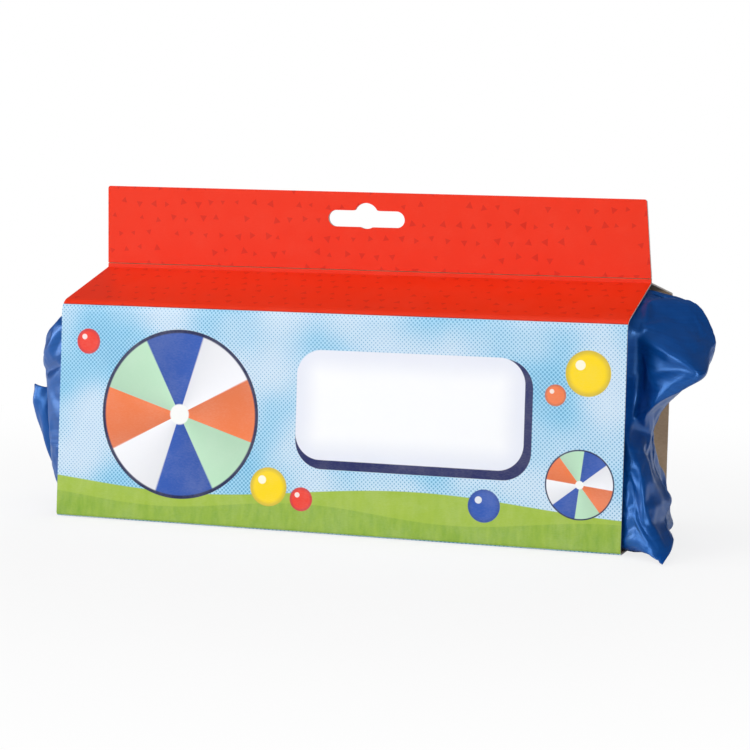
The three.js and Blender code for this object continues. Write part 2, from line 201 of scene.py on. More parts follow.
def apply_modifier(obj: Object, kind: str, **settings: object) -> None:
    """Add a modifier with its settings, and apply it.

    Args:
        obj: The mesh object.
        kind: The modifier's type.
        **settings: The modifier's values by name.
    """
    activate(obj)
    modifier = obj.modifiers.new(kind.lower(), kind)
    for name, value in settings.items():
        setattr(modifier, name, value)
    bpy.ops.object.modifier_apply(modifier=modifier.name)


def smooth(obj: Object, degrees: float = 35.0) -> None:
    """Shade an object smooth up to an angle between its faces."""
    activate(obj)
    bpy.ops.object.shade_smooth_by_angle(angle=math.radians(degrees))


def merge_doubles(obj: Object, gap: float) -> None:
    """Merge a mesh's doubled points, and make its faces point outwards.

    Args:
        obj: The mesh object.
        gap: The distance up to which points are merged.
    """
    with editing(obj):
        bpy.ops.mesh.select_all(action="SELECT")
        bpy.ops.mesh.remove_doubles(threshold=gap)
        bpy.ops.mesh.normals_make_consistent(inside=False)


def refine(obj: Object) -> None:
    """Subdivide an object once, with the same level everywhere."""
    finer = obj.modifiers.new("subsurf", "SUBSURF")
    finer.levels = finer.render_levels = 1


def twin(obj: Object, name: str) -> Object:
    """Copy an object together with its mesh.

    Args:
        obj: The object.
        name: The copy's name.

    Returns:
        The copy, in the scene.
    """
    copy = obj.copy()
    copy.data = obj.data.copy()
    copy.name = name
    bpy.context.scene.collection.objects.link(copy)
    return copy


def dress(piece: Object, body: Body, node: str = "") -> None:
    """Put a piece on its body, in the place of its solid.

    Args:
        piece: The piece.
        body: The body that it rides on.
        node: The solid that it stands for, if it has one.
    """
    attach(piece, body.value)
    if node:
        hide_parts(node)


def mesh_object(name: str, points: np.ndarray, faces: Sequence[Sequence[int]]) -> Object:
    """Make a smooth mesh object from its points and faces.

    Args:
        name: The object's name.
        points: The vertices, one row each.
        faces: The vertex numbers of each face.

    Returns:
        The new object, in the scene.
    """
    mesh = bpy.data.meshes.new(name)
    mesh.from_pydata([tuple(p) for p in points.tolist()], [], [tuple(f) for f in faces])
    mesh.polygons.foreach_set("use_smooth", [True] * len(mesh.polygons))
    mesh.update()
    obj = bpy.data.objects.new(name, mesh)
    bpy.context.scene.collection.objects.link(obj)
    return obj


def add_map(obj: Object, places: np.ndarray) -> None:
    """Give a mesh a UV map from one place per vertex.

    Args:
        obj: The mesh object.
        places: The place of each vertex on the cloth, in metres.
    """
    layer = obj.data.uv_layers.new(name="cloth")
    loops = np.zeros(len(obj.data.loops), dtype=np.int32)
    obj.data.loops.foreach_get("vertex_index", loops)
    layer.data.foreach_set("uv", places[loops].astype(np.float32).ravel())


def grid_faces(rows: int, columns: int) -> list[tuple[int, int, int, int]]:
    """List the faces of a grid of points, by the numbers of their corners."""
    starts = [i * columns + j for i in range(rows - 1) for j in range(columns - 1)]
    return [(start, start + 1, start + columns + 1, start + columns) for start in starts]


def smooth_line(knots: Sequence[Sequence[float]], shares: np.ndarray) -> np.ndarray:
    """Run a smooth line through knots that are given with their share of the way.

    Args:
        knots: Rows of the share and then the coordinates.
        shares: The shares at which the line is read.

    Returns:
        One row of coordinates for each share.
    """
    table = np.array(knots, dtype=float)
    at, values = table[:, 0], table[:, 1:]
    slopes = np.gradient(values, at, axis=0)
    index = np.clip(np.searchsorted(at, shares, side="right") - 1, 0, len(at) - 2)
    width = (at[index + 1] - at[index])[:, None]
    t = (shares - at[index])[:, None] / width
    first = (1 + 2 * t) * (1 - t) ** 2 * values[index] + t * (1 - t) ** 2 * width * slopes[index]
    second = t**2 * (3 - 2 * t) * values[index + 1]
    return first + second + t**2 * (t - 1) * width * slopes[index + 1]


def ease(low: float, high: float, value: np.ndarray) -> np.ndarray:
    """Rise smoothly from 0 at the low value to 1 at the high one."""
    t = np.clip((value - low) / (high - low), 0.0, 1.0)
    return t * t * (3 - 2 * t)


@dataclass
class Nodes:
    """Adds nodes to one node tree and links them."""

    tree: NodeTree

    def feed(self, socket: NodeSocket, value: object) -> None:
        """Link a socket to another one, or set its value.

        Args:
            socket: The input.
            value: A socket, a number, a vector or a colour.
        """
        if isinstance(value, NodeSocket):
            self.tree.links.new(value, socket)
        elif value is not None:
            socket.default_value = value

    def add(self, kind: str, inputs: dict[str | int, object] | None = None, **settings: object) -> Node:
        """Add a node.

        Args:
            kind: The node's type.
            inputs: Values or sockets for its inputs, by name or number.
            **settings: The node's own settings.

        Returns:
            The node.
        """
        node = self.tree.nodes.new(kind)
        for name, value in settings.items():
            setattr(node, name, value)
        for name, value in (inputs or {}).items():
            self.feed(node.inputs[name], value)
        return node

    def calculate(self, kind: str, operation: str, values: Sequence[object]) -> Node:
        """Add a node that calculates, with its inputs in order."""
        return self.add(kind, dict(enumerate(values)), operation=operation)

    def math(self, operation: str, *values: object) -> NodeSocket:
        """Add a Math node and give its result."""
        return self.calculate("ShaderNodeMath", operation, values).outputs[0]

    def vector(self, operation: str, *values: object) -> NodeSocket:
        """Add a Vector Math node and give its result."""
        node = self.calculate("ShaderNodeVectorMath", operation, values)
        return node.outputs["Value" if operation in ("DOT_PRODUCT", "LENGTH") else "Vector"]

    def mix(self, share: object, first: object, second: object) -> NodeSocket:
        """Mix two colours and give the result."""
        node = self.add("ShaderNodeMix", data_type="RGBA")
        colours = [s for s in node.inputs if s.type == "RGBA"]
        self.feed(node.inputs[0], share)
        self.feed(colours[0], first)
        self.feed(colours[1], second)
        return next(s for s in node.outputs if s.type == "RGBA")

    def step(self, value: object, low: float, high: float) -> NodeSocket:
        """Rise from 0 to 1 between two values, or fall where the first is the higher."""
        ends = {"From Min": min(low, high), "From Max": max(low, high)}
        ends |= {"To Min": float(low > high), "To Max": float(low < high)}
        node = self.add("ShaderNodeMapRange", {"Value": value} | ends, interpolation_type="SMOOTHSTEP")
        return node.outputs["Result"]

    def noise(self, place: object, scale: float, detail: float = 2.0) -> NodeSocket:
        """Add a Noise texture and give its value."""
        node = self.add("ShaderNodeTexNoise", {"Vector": place, "Scale": scale, "Detail": detail})
        return node.outputs[0]

    def split(self, place: object) -> tuple[NodeSocket, ...]:
        """Give the X, Y and Z of a vector."""
        return tuple(self.add("ShaderNodeSeparateXYZ", {"Vector": place}).outputs)

    def join(self, x: object, y: object, z: object = 0.0) -> NodeSocket:
        """Give the vector of three values."""
        return self.add("ShaderNodeCombineXYZ", {"X": x, "Y": y, "Z": z}).outputs[0]

    def turn(self, place: object, angle: object) -> NodeSocket:
        """Turn a place about Z."""
        inputs = {"Vector": place, "Angle": angle}
        return self.add("ShaderNodeVectorRotate", inputs, rotation_type="Z_AXIS").outputs[0]

    def group(self, tree: NodeTree, **inputs: object) -> Node:
        """Place a node group, with its inputs by name."""
        return self.add("ShaderNodeGroup", inputs, node_tree=tree)

    def close(self, out: Node, **results: object) -> NodeTree:
        """Feed the results of a group by name, and give the group."""
        for name, result in results.items():
            self.feed(out.inputs[name], result)
        return self.tree


class Socket(Enum):
    """Kinds of socket on a node group."""

    VALUE = "NodeSocketFloat"
    VECTOR = "NodeSocketVector"
    COLOUR = "NodeSocketColor"


PRINT_EDGE = 0.1 * MM
WEDGES = ("First", "Second", "Third", "Fourth")
SOCKETS = {name: Socket.VECTOR for name in ("Place", "Centre", "Half")}
SOCKETS |= {name: Socket.COLOUR for name in (*WEDGES, "Colour")}


class Patterns:
    """Shader node groups that several finishes share, each built when it is first asked for."""

    @staticmethod
    def start(
        name: str, inputs: Sequence[str], outputs: Sequence[str]
    ) -> tuple[Nodes, dict[str, NodeSocket], Node]:
        """Begin a group with its sockets, which are values unless their names say otherwise.

        Args:
            name: The group's name.
            inputs: The names of its inputs.
            outputs: The names of its outputs.

        Returns:
            The group's nodes, its inputs by name and its output node.
        """
        tree = bpy.data.node_groups.new(name, "ShaderNodeTree")
        for way, labels in (("INPUT", inputs), ("OUTPUT", outputs)):
            for label in labels:
                kind = SOCKETS.get(label, Socket.VALUE)
                tree.interface.new_socket(name=label, in_out=way, socket_type=kind.value)
        nodes = Nodes(tree)
        entry = nodes.add("NodeGroupInput")
        return nodes, {s.name: s for s in entry.outputs if s.name}, nodes.add("NodeGroupOutput")

    @cached_property
    def fibre(self) -> NodeTree:
        """Fibres of board: a fine mottle and its height."""
        nodes, given, out = self.start("board_fibre", ["Place"], ["Mottle", "Height"])
        stretched = nodes.vector("MULTIPLY", given["Place"], (0.35, 1.0, 1.0))
        fine = nodes.noise(stretched, 2600.0, 4.0)
        broad = nodes.noise(given["Place"], 90.0, 3.0)
        mottle = nodes.math("MULTIPLY_ADD", broad, 0.6, nodes.math("MULTIPLY", fine, 0.4))
        return nodes.close(out, Mottle=mottle, Height=fine)

    @cached_property
    def weave(self) -> NodeTree:
        """Plain weave: the height of crossing threads, and their uneven dye."""
        nodes, given, out = self.start("plain_weave", ["Place", "Pitch"], ["Height", "Dye"])
        u, v, _ = nodes.split(given["Place"])
        turns = nodes.math("DIVIDE", math.pi, given["Pitch"])
        warp = nodes.math("SINE", nodes.math("MULTIPLY", u, turns))
        weft = nodes.math("SINE", nodes.math("MULTIPLY", v, turns))
        crossing = nodes.math("MULTIPLY", warp, weft)
        ribs = nodes.math("ADD", nodes.math("ABSOLUTE", warp), nodes.math("ABSOLUTE", weft))
        height = nodes.math("MULTIPLY_ADD", crossing, 0.35, nodes.math("MULTIPLY", ribs, 0.5))
        slubs = nodes.noise(nodes.vector("MULTIPLY", given["Place"], (14.0, 900.0, 1.0)), 1.0, 2.0)
        return nodes.close(out, Height=height, Dye=slubs)

    @cached_property
    def dots(self) -> NodeTree:
        """Screen dots on a slanted grid, larger where the cover is."""
        nodes, given, out = self.start("screen_dots", ["Place", "Pitch", "Cover"], ["Mask"])
        turned = nodes.turn(given["Place"], math.radians(45))
        scale = nodes.math("DIVIDE", 1.0, given["Pitch"])
        cell = nodes.vector("FRACTION", nodes.vector("MULTIPLY", turned, nodes.join(scale, scale, 1.0)))
        x, y, _ = nodes.split(cell)
        dx, dy = (nodes.math("SUBTRACT", side, 0.5) for side in (x, y))
        away = nodes.vector("LENGTH", nodes.join(dx, dy))
        inside = nodes.math("SUBTRACT", nodes.math("MULTIPLY", given["Cover"], 0.5), away)
        return nodes.close(out, Mask=nodes.step(inside, -0.06, 0.06))

    @cached_property
    def triangles(self) -> NodeTree:
        """Small triangles, each turned its own way, one in most cells of a grid."""
        nodes, given, out = self.start("loose_triangles", ["Place", "Pitch", "Size"], ["Mask"])
        x, y, _ = nodes.split(given["Place"])
        across = nodes.math("DIVIDE", x, given["Pitch"])
        up = nodes.math("DIVIDE", y, given["Pitch"])
        row = nodes.math("FLOOR", up)
        shifted = nodes.math("MULTIPLY_ADD", row, 0.37, across)
        column = nodes.math("FLOOR", shifted)
        cell = {"Vector": nodes.join(column, row)}
        chance = nodes.add("ShaderNodeTexWhiteNoise", cell, noise_dimensions="2D")
        red, green, blue = nodes.split(chance.outputs["Color"])
        middle_x, middle_y = (nodes.math("MULTIPLY_ADD", share, 0.36, 0.32) for share in (red, green))
        dx = nodes.math("SUBTRACT", nodes.math("FRACT", shifted), middle_x)
        dy = nodes.math("SUBTRACT", nodes.math("FRACT", up), middle_y)
        local = nodes.turn(nodes.join(dx, dy), nodes.math("MULTIPLY", blue, 2 * math.pi))
        sides = []
        for corner in range(3):
            angle = math.radians(90 + 120 * corner)
            sides.append(nodes.vector("DOT_PRODUCT", local, (math.cos(angle), math.sin(angle), 0.0)))
        reach = nodes.math("MAXIMUM", sides[0], nodes.math("MAXIMUM", sides[1], sides[2]))
        size = nodes.math("MULTIPLY", given["Size"], nodes.math("MULTIPLY_ADD", red, 0.5, 0.7))
        there = nodes.step(nodes.math("SUBTRACT", size, reach), -0.012, 0.012)
        filled = nodes.math("GREATER_THAN", green, 0.18)
        return nodes.close(out, Mask=nodes.math("MULTIPLY", there, filled))

    @cached_property
    def disc(self) -> NodeTree:
        """A round spot."""
        nodes, given, out = self.start("round_spot", ["Place", "Centre", "Radius"], ["Mask", "Away"])
        away = nodes.vector("LENGTH", nodes.vector("SUBTRACT", given["Place"], given["Centre"]))
        inside = nodes.math("SUBTRACT", given["Radius"], away)
        mask = nodes.step(inside, -PRINT_EDGE, PRINT_EDGE)
        return nodes.close(out, Mask=mask, Away=nodes.math("DIVIDE", away, given["Radius"]))

    @cached_property
    def wheel(self) -> NodeTree:
        """A wheel of eight wedges in four colours, with a pale hub and a dark rim."""
        sockets = ["Place", "Centre", "Radius", "Turn", *WEDGES]
        nodes, given, out = self.start("wedge_wheel", sockets, ["Colour", "Mask"])
        spot = nodes.group(self.disc, Place=given["Place"], Centre=given["Centre"], Radius=given["Radius"])
        x, y, _ = nodes.split(nodes.vector("SUBTRACT", given["Place"], given["Centre"]))
        angle = nodes.math("ADD", nodes.math("ARCTAN2", y, x), given["Turn"])
        wedge = nodes.math("FLOORED_MODULO", nodes.math("MULTIPLY", angle, 4 / math.pi), 4.0)
        colour = given[WEDGES[0]]
        for number, name in enumerate(WEDGES[1:], start=1):
            colour = nodes.mix(nodes.step(wedge, number - 0.02, number + 0.02), colour, given[name])
        away = spot.outputs["Away"]
        shade = nodes.math("MULTIPLY", nodes.math("FRACT", wedge), 0.16)
        colour = nodes.mix(shade, colour, tint(60, 60, 80))
        colour = nodes.mix(nodes.step(away, 0.13, 0.11), colour, tint(246, 246, 244))
        colour = nodes.mix(nodes.step(away, 0.95, 0.97), colour, tint(32, 38, 82))
        return nodes.close(out, Colour=colour, Mask=spot.outputs["Mask"])

    @cached_property
    def plate(self) -> NodeTree:
        """A plate with round corners: the distance from its edge, and its mask."""
        sockets = ["Place", "Centre", "Half", "Corner"]
        nodes, given, out = self.start("round_plate", sockets, ["Mask", "Edge"])
        corner = nodes.join(given["Corner"], given["Corner"])
        local = nodes.vector("ABSOLUTE", nodes.vector("SUBTRACT", given["Place"], given["Centre"]))
        beyond = nodes.vector("SUBTRACT", nodes.vector("ADD", local, corner), given["Half"])
        x, y, _ = nodes.split(beyond)
        past_x, past_y = (nodes.math("MAXIMUM", side, 0.0) for side in (x, y))
        outside = nodes.vector("LENGTH", nodes.join(past_x, past_y))
        within = nodes.math("MINIMUM", nodes.math("MAXIMUM", x, y), 0.0)
        edge = nodes.math("SUBTRACT", nodes.math("ADD", outside, within), given["Corner"])
        return nodes.close(out, Mask=nodes.step(edge, PRINT_EDGE, -PRINT_EDGE), Edge=edge)


@dataclass(frozen=True)
class Finish:
    """What every finish has: a name, and a gloss."""

    name: str
    roughness: float

    def begin(self) -> tuple[Material, Nodes, Node]:
        """Start the finish's material.

        Returns:
            The material, its nodes and its shader.
        """
        material = bpy.data.materials.new(self.name)
        material.use_nodes = True
        nodes = Nodes(material.node_tree)
        shader = material.node_tree.nodes["Principled BSDF"]
        shader.inputs["Roughness"].default_value = self.roughness
        return material, nodes, shader

    @staticmethod
    def bump(nodes: Nodes, shader: Node, height: object, strength: float, reach: float) -> None:
        """Give the shader a bump that stands up to its reach, in metres."""
        node = nodes.add("ShaderNodeBump", {"Height": height, "Strength": strength, "Distance": reach})
        nodes.feed(shader.inputs["Normal"], node.outputs["Normal"])

    @staticmethod
    def place(nodes: Nodes) -> NodeSocket:
        """Give the place on the object."""
        return nodes.add("ShaderNodeTexCoord").outputs["Object"]


class View(Enum):
    """Which two axes a print is laid out on."""

    UPRIGHT = "x and z"
    LYING = "x and y"


@dataclass(frozen=True)
class Wear:
    """Where a coat is rubbed thin: from which mottle to which, how much, and the colour below."""

    low: float
    high: float
    share: float
    colour: Colour


@dataclass(frozen=True)
class CoatedFinish(Finish):
    """Coated and printed board."""

    patterns: Patterns
    view: View = View.UPRIGHT
    uneven: float = 0.16
    shine: float = 0.3
    grain: float = 0.06
    grain_height: float = 0.05 * MM

    def layout(self, nodes: Nodes) -> tuple[NodeSocket, NodeSocket]:
        """Give the place on the print, and the place on the object."""
        place = self.place(nodes)
        x, y, z = nodes.split(place)
        return nodes.join(x, z if self.view is View.UPRIGHT else y), place

    def coat(self, nodes: Nodes, shader: Node, place: NodeSocket, colour: NodeSocket, wear: Wear) -> None:
        """Lay the coat over a print, with its wear, its uneven gloss and its grain.

        Args:
            nodes: The material's nodes.
            shader: The shader.
            place: The place on the object.
            colour: The print.
            wear: Where the coat is rubbed thin.
        """
        fibre = nodes.group(self.patterns.fibre, Place=place)
        mottle = fibre.outputs["Mottle"]
        worn = nodes.math("MULTIPLY", nodes.step(mottle, wear.low, wear.high), wear.share)
        nodes.feed(shader.inputs["Base Color"], nodes.mix(worn, colour, wear.colour))
        gloss = nodes.math("MULTIPLY_ADD", mottle, self.uneven, self.roughness - self.uneven / 2)
        nodes.feed(shader.inputs["Roughness"], gloss)
        shader.inputs["Specular IOR Level"].default_value = self.shine
        self.bump(nodes, shader, fibre.outputs["Height"], self.grain, self.grain_height)


def on_print(x: float, y: float) -> Place:
    """Give a place on a print from its millimetres."""
    return (x * MM, y * MM, 0.0)


@dataclass(frozen=True)
class PrintFinish(CoatedFinish):
    """Coated board printed with a sky of dots, a meadow, wheels and balls."""

    sky: Colour = tint(206, 226, 243)
    haze: Colour = tint(160, 212, 240)
    ink: Colour = tint(66, 152, 198)
    meadow: Colour = tint(150, 182, 58)
    grass: Colour = tint(112, 158, 48)
    blade: Colour = tint(172, 196, 78)
    navy: Colour = tint(36, 42, 96)
    orange: Colour = tint(242, 126, 74)
    white: Colour = tint(246, 246, 250)
    blue: Colour = tint(46, 88, 178)
    green: Colour = tint(190, 228, 196)
    yellow: Colour = tint(252, 216, 20)
    red: Colour = tint(238, 60, 44)
    glint: Colour = tint(255, 255, 250)
    paper: Colour = tint(250, 250, 252)
    paper_edge: Colour = tint(232, 234, 244)
    wear: Wear = Wear(0.35, 0.75, 0.07, tint(255, 252, 245))
    dot_pitch: float = 1.15 * MM
    soft_edge: float = 0.15 * MM
    plate_middle: tuple[float, float] = (31.5, 49.5)
    plate_half: tuple[float, float] = (45.0, 21.0)
    plate_corner: float = 10.0
    shadow_shift: tuple[float, float] = (1.5, -2.0)
    shadow_margin: float = 1.5
    shadow_corner: float = 11.0

    def background(self, nodes: Nodes, flat: NodeSocket) -> NodeSocket:
        """Lay out the sky with its dots, and the meadow below it.

        Args:
            nodes: The material's nodes.
            flat: The place on the print.

        Returns:
            The colour.
        """
        x, y, _ = nodes.split(flat)
        cloudy = nodes.noise(flat, 26.0, 1.0)
        colour = nodes.mix(nodes.step(cloudy, 0.36, 0.66), self.sky, self.haze)
        cover = nodes.math("MULTIPLY_ADD", cloudy, 1.1, 0.0)
        dots = nodes.group(self.patterns.dots, Place=flat, Pitch=self.dot_pitch, Cover=cover)
        colour = nodes.mix(nodes.math("MULTIPLY", dots.outputs["Mask"], 0.8), colour, self.ink)
        if self.view is View.LYING:
            return colour
        for height, depth, wave, start, grass in (
            (15.5, 3.0, 34.0, 0.4, self.meadow),
            (9.0, 2.2, 52.0, 2.1, self.grass),
        ):
            swell = nodes.math("SINE", nodes.math("MULTIPLY_ADD", x, wave, start))
            top = nodes.math("MULTIPLY_ADD", swell, depth * MM, height * MM)
            below = nodes.step(nodes.math("SUBTRACT", top, y), -self.soft_edge, self.soft_edge)
            blades = nodes.noise(nodes.vector("MULTIPLY", flat, (1.0, 0.3, 1.0)), 420.0, 3.0)
            colour = nodes.mix(below, colour, nodes.mix(blades, grass, self.blade))
        return colour

    def wheel(
        self, nodes: Nodes, flat: NodeSocket, under: NodeSocket,
        centre: tuple[float, float], radius: float, turn: float,
    ) -> NodeSocket:
        """Print a wedge wheel over a colour.

        Args:
            nodes: The material's nodes.
            flat: The place on the print.
            under: The colour below.
            centre: The wheel's centre, in millimetres.
            radius: Its radius, in millimetres.
            turn: How far it is turned.

        Returns:
            The colour with the wheel.
        """
        node = nodes.group(
            self.patterns.wheel, Place=flat, Centre=on_print(*centre), Radius=radius * MM, Turn=turn,
            First=self.orange, Second=self.white, Third=self.blue, Fourth=self.green,
        )
        return nodes.mix(node.outputs["Mask"], under, node.outputs["Colour"])

    def ball(
        self, nodes: Nodes, flat: NodeSocket, under: NodeSocket,
        centre: tuple[float, float], radius: float, colour: Colour,
    ) -> NodeSocket:
        """Print a plain ball with a light spot over a colour.

        Args:
            nodes: The material's nodes.
            flat: The place on the print.
            under: The colour below.
            centre: The ball's centre, in millimetres.
            radius: Its radius, in millimetres.
            colour: Its colour.

        Returns:
            The colour with the ball.
        """
        x, y = centre
        disc = self.patterns.disc
        spot = nodes.group(disc, Place=flat, Centre=on_print(x, y), Radius=radius * MM)
        lit = on_print(x - 0.35 * radius, y + 0.35 * radius)
        glint = nodes.group(disc, Place=flat, Centre=lit, Radius=0.22 * radius * MM)
        rim = nodes.step(spot.outputs["Away"], 0.7, 1.0)
        shaded = nodes.mix(nodes.math("MULTIPLY", rim, 0.3), colour, self.navy)
        shaded = nodes.mix(nodes.math("MULTIPLY", glint.outputs["Mask"], 0.75), shaded, self.glint)
        return nodes.mix(spot.outputs["Mask"], under, shaded)

    def plate(self, nodes: Nodes, flat: NodeSocket, under: NodeSocket) -> NodeSocket:
        """Print a blank plate and its shadow over a colour.

        Args:
            nodes: The material's nodes.
            flat: The place on the print.
            under: The colour below.

        Returns:
            The colour with the plate.
        """
        (x, y), (wide, high) = self.plate_middle, self.plate_half
        right, up = self.shadow_shift
        more = self.shadow_margin
        form = self.patterns.plate
        middle, half = on_print(x + right, y + up), on_print(wide + more, high + more)
        shadow = nodes.group(form, Place=flat, Centre=middle, Half=half, Corner=self.shadow_corner * MM)
        under = nodes.mix(shadow.outputs["Mask"], under, self.navy)
        middle, half = on_print(x, y), on_print(wide, high)
        plate = nodes.group(form, Place=flat, Centre=middle, Half=half, Corner=self.plate_corner * MM)
        paper = nodes.mix(nodes.step(plate.outputs["Edge"], -0.012, 0.0), self.paper, self.paper_edge)
        return nodes.mix(plate.outputs["Mask"], under, paper)

    def motifs(self, nodes: Nodes, flat: NodeSocket, colour: NodeSocket) -> NodeSocket:
        """Print the wheels, a blank plate with its shadow and the balls.

        Args:
            nodes: The material's nodes.
            flat: The place on the print.
            colour: The colour below.

        Returns:
            The colour with the motifs.
        """
        colour = self.wheel(nodes, flat, colour, (-62.0, 43.0), 33.0, 0.3)
        colour = self.wheel(nodes, flat, colour, (98.0, 25.0), 13.0, 0.9)
        colour = self.plate(nodes, flat, colour)
        for centre, radius, shade in (
            ((-24.0, 17.0), 7.5, self.yellow),
            ((-10.5, 13.0), 4.6, self.red),
            ((62.0, 15.0), 6.2, self.blue),
            ((100.0, 66.0), 8.5, self.yellow),
            ((88.0, 57.5), 4.0, self.orange),
            ((-102.0, 70.0), 5.0, self.red),
        ):
            colour = self.ball(nodes, flat, colour, centre, radius, shade)
        return colour

    def material(self) -> Material:
        """Build the finish.

        Returns:
            The material.
        """
        material, nodes, shader = self.begin()
        flat, place = self.layout(nodes)
        colour = self.background(nodes, flat)
        if self.view is View.UPRIGHT:
            colour = self.motifs(nodes, flat, colour)
        self.coat(nodes, shader, place, colour, self.wear)
        return material


@dataclass(frozen=True)
class RedFinish(CoatedFinish):
    """Coated red board with a loose pattern of darker triangles."""

    red: Colour = tint(237, 49, 14)
    deep: Colour = tint(214, 36, 10)
    wear: Wear = Wear(0.4, 0.8, 0.08, tint(255, 120, 96))
    mark_pitch: float = 6.4 * MM
    mark_size: float = 0.12
    mark_share: float = 0.85

    def material(self) -> Material:
        """Build the finish.

        Returns:
            The material.
        """
        material, nodes, shader = self.begin()
        flat, place = self.layout(nodes)
        marks = nodes.group(self.patterns.triangles, Place=flat, Pitch=self.mark_pitch, Size=self.mark_size)
        printed = nodes.math("MULTIPLY", marks.outputs["Mask"], self.mark_share)
        self.coat(nodes, shader, place, nodes.mix(printed, self.red, self.deep), self.wear)
        return material


@dataclass(frozen=True)
class BoardFinish(Finish):
    """Bare board: its brown inside, or its pale cut edge."""

    patterns: Patterns
    pale: Colour
    dark: Colour

    def material(self) -> Material:
        """Build the finish.

        Returns:
            The material.
        """
        material, nodes, shader = self.begin()
        fibre = nodes.group(self.patterns.fibre, Place=self.place(nodes))
        colour = nodes.mix(nodes.step(fibre.outputs["Mottle"], 0.3, 0.7), self.dark, self.pale)
        nodes.feed(shader.inputs["Base Color"], colour)
        self.bump(nodes, shader, fibre.outputs["Height"], 0.25, 0.08 * MM)
        return material


@dataclass(frozen=True)
class ClothFinish(Finish):
    """Woven cloth with a sheen."""

    patterns: Patterns
    colour: Colour
    faded: Colour
    sheen: Colour
    pitch: float = 0.32 * MM
    sheen_weight: float = 0.3
    gloss: float = 0.5
    index: float = 1.5
    metal: float = 0.0
    relief: float = 0.12
    thread: float = 0.08 * MM
    sheen_roughness: float = 0.4

    def material(self) -> Material:
        """Build the finish.

        Returns:
            The material.
        """
        material, nodes, shader = self.begin()
        places = nodes.add("ShaderNodeTexCoord")
        weave = nodes.group(self.patterns.weave, Place=places.outputs["UV"], Pitch=self.pitch)
        patches = nodes.noise(places.outputs["Object"], 60.0, 3.0)
        dye = nodes.math("MULTIPLY_ADD", weave.outputs["Dye"], 0.5, nodes.math("MULTIPLY", patches, 0.5))
        colour = nodes.mix(nodes.step(dye, 0.3, 0.7), self.colour, self.faded)
        nodes.feed(shader.inputs["Base Color"], colour)
        gloss = nodes.math("MULTIPLY_ADD", weave.outputs["Dye"], 0.12, self.roughness - 0.06)
        nodes.feed(shader.inputs["Roughness"], gloss)
        plain = {"IOR": self.index, "Metallic": self.metal, "Specular IOR Level": self.gloss}
        plain |= {"Specular Tint": self.sheen, "Sheen Tint": self.sheen}
        plain |= {"Sheen Weight": self.sheen_weight, "Sheen Roughness": self.sheen_roughness}
        for socket, value in plain.items():
            shader.inputs[socket].default_value = value
        self.bump(nodes, shader, weave.outputs["Height"], self.relief, self.thread)
        return material


class Finishes:
    """All the finishes, made once."""

    def __init__(self) -> None:
        """Build every material."""
        shared = self.patterns = Patterns()
        self.upright_print = PrintFinish("meadow_print", 0.38, shared).material()
        self.lying_print = PrintFinish("sky_print", 0.38, shared, View.LYING).material()
        self.upright_red = RedFinish("red_print_upright", 0.36, shared, View.UPRIGHT).material()
        self.lying_red = RedFinish("red_print_lying", 0.36, shared, View.LYING).material()
        kraft = BoardFinish("brown_board", 0.85, shared, tint(200, 170, 136), tint(178, 148, 114))
        self.kraft = kraft.material()
        edge = BoardFinish("cut_edge", 0.8, shared, tint(222, 218, 212), tint(180, 170, 160))
        self.cut_edge = edge.material()
        self.bag = ClothFinish(
            "bag_satin", 0.32, shared, tint(4, 66, 140), tint(9, 78, 158), tint(140, 194, 252),
            sheen_weight=0.0, gloss=0.9, index=1.7, metal=0.16, relief=0.1,
        ).material()
        self.thread = ClothFinish(
            "bag_thread", 0.5, shared, tint(14, 34, 84), tint(24, 52, 110), tint(120, 150, 210),
        ).material()
        self.webbing = ClothFinish(
            "black_webbing", 0.7, shared, tint(28, 28, 32), tint(44, 44, 50), tint(140, 140, 150),
            pitch=0.9 * MM, relief=0.5, gloss=0.3,
        ).material()
        self.canopy = {
            Slot.ORANGE: self.taffeta("orange_taffeta", tint(238, 116, 60), tint(246, 138, 84)),
            Slot.GREEN: self.taffeta("green_taffeta", tint(180, 222, 186), tint(198, 234, 202)),
            Slot.WHITE: self.taffeta("white_taffeta", tint(238, 238, 240), tint(250, 250, 250)),
            Slot.BLUE: self.taffeta("blue_taffeta", tint(36, 78, 168), tint(52, 96, 184)),
        }

    def taffeta(self, name: str, colour: Colour, faded: Colour) -> Material:
        """Make one of the canopy's cloths, from its colour and that of its lighter threads."""
        return ClothFinish(name, 0.48, self.patterns, colour, faded, tint(235, 235, 240)).material()


@dataclass(frozen=True)
class Softbox:
    """A square lamp that faces the pack: its place, its side, its power, and whether gloss shows it."""

    name: str
    place: Place
    side: float
    watts: float
    mirrored: bool = True


SOFTBOXES = (
    Softbox("key_softbox", (-1.15, -1.35, 0.75), 0.9, 11.9),
    Softbox("front_softbox", (0.95, -1.6, 0.5), 0.8, 10.6),
    Softbox("left_softbox", (-1.7, -0.35, 0.3), 0.8, 10.5),
    Softbox("top_softbox", (0.1, -0.25, 1.7), 1.2, 7.6, mirrored=False),
    Softbox("back_softbox", (-0.4, 1.9, 0.7), 1.0, 20.0, mirrored=False),
)


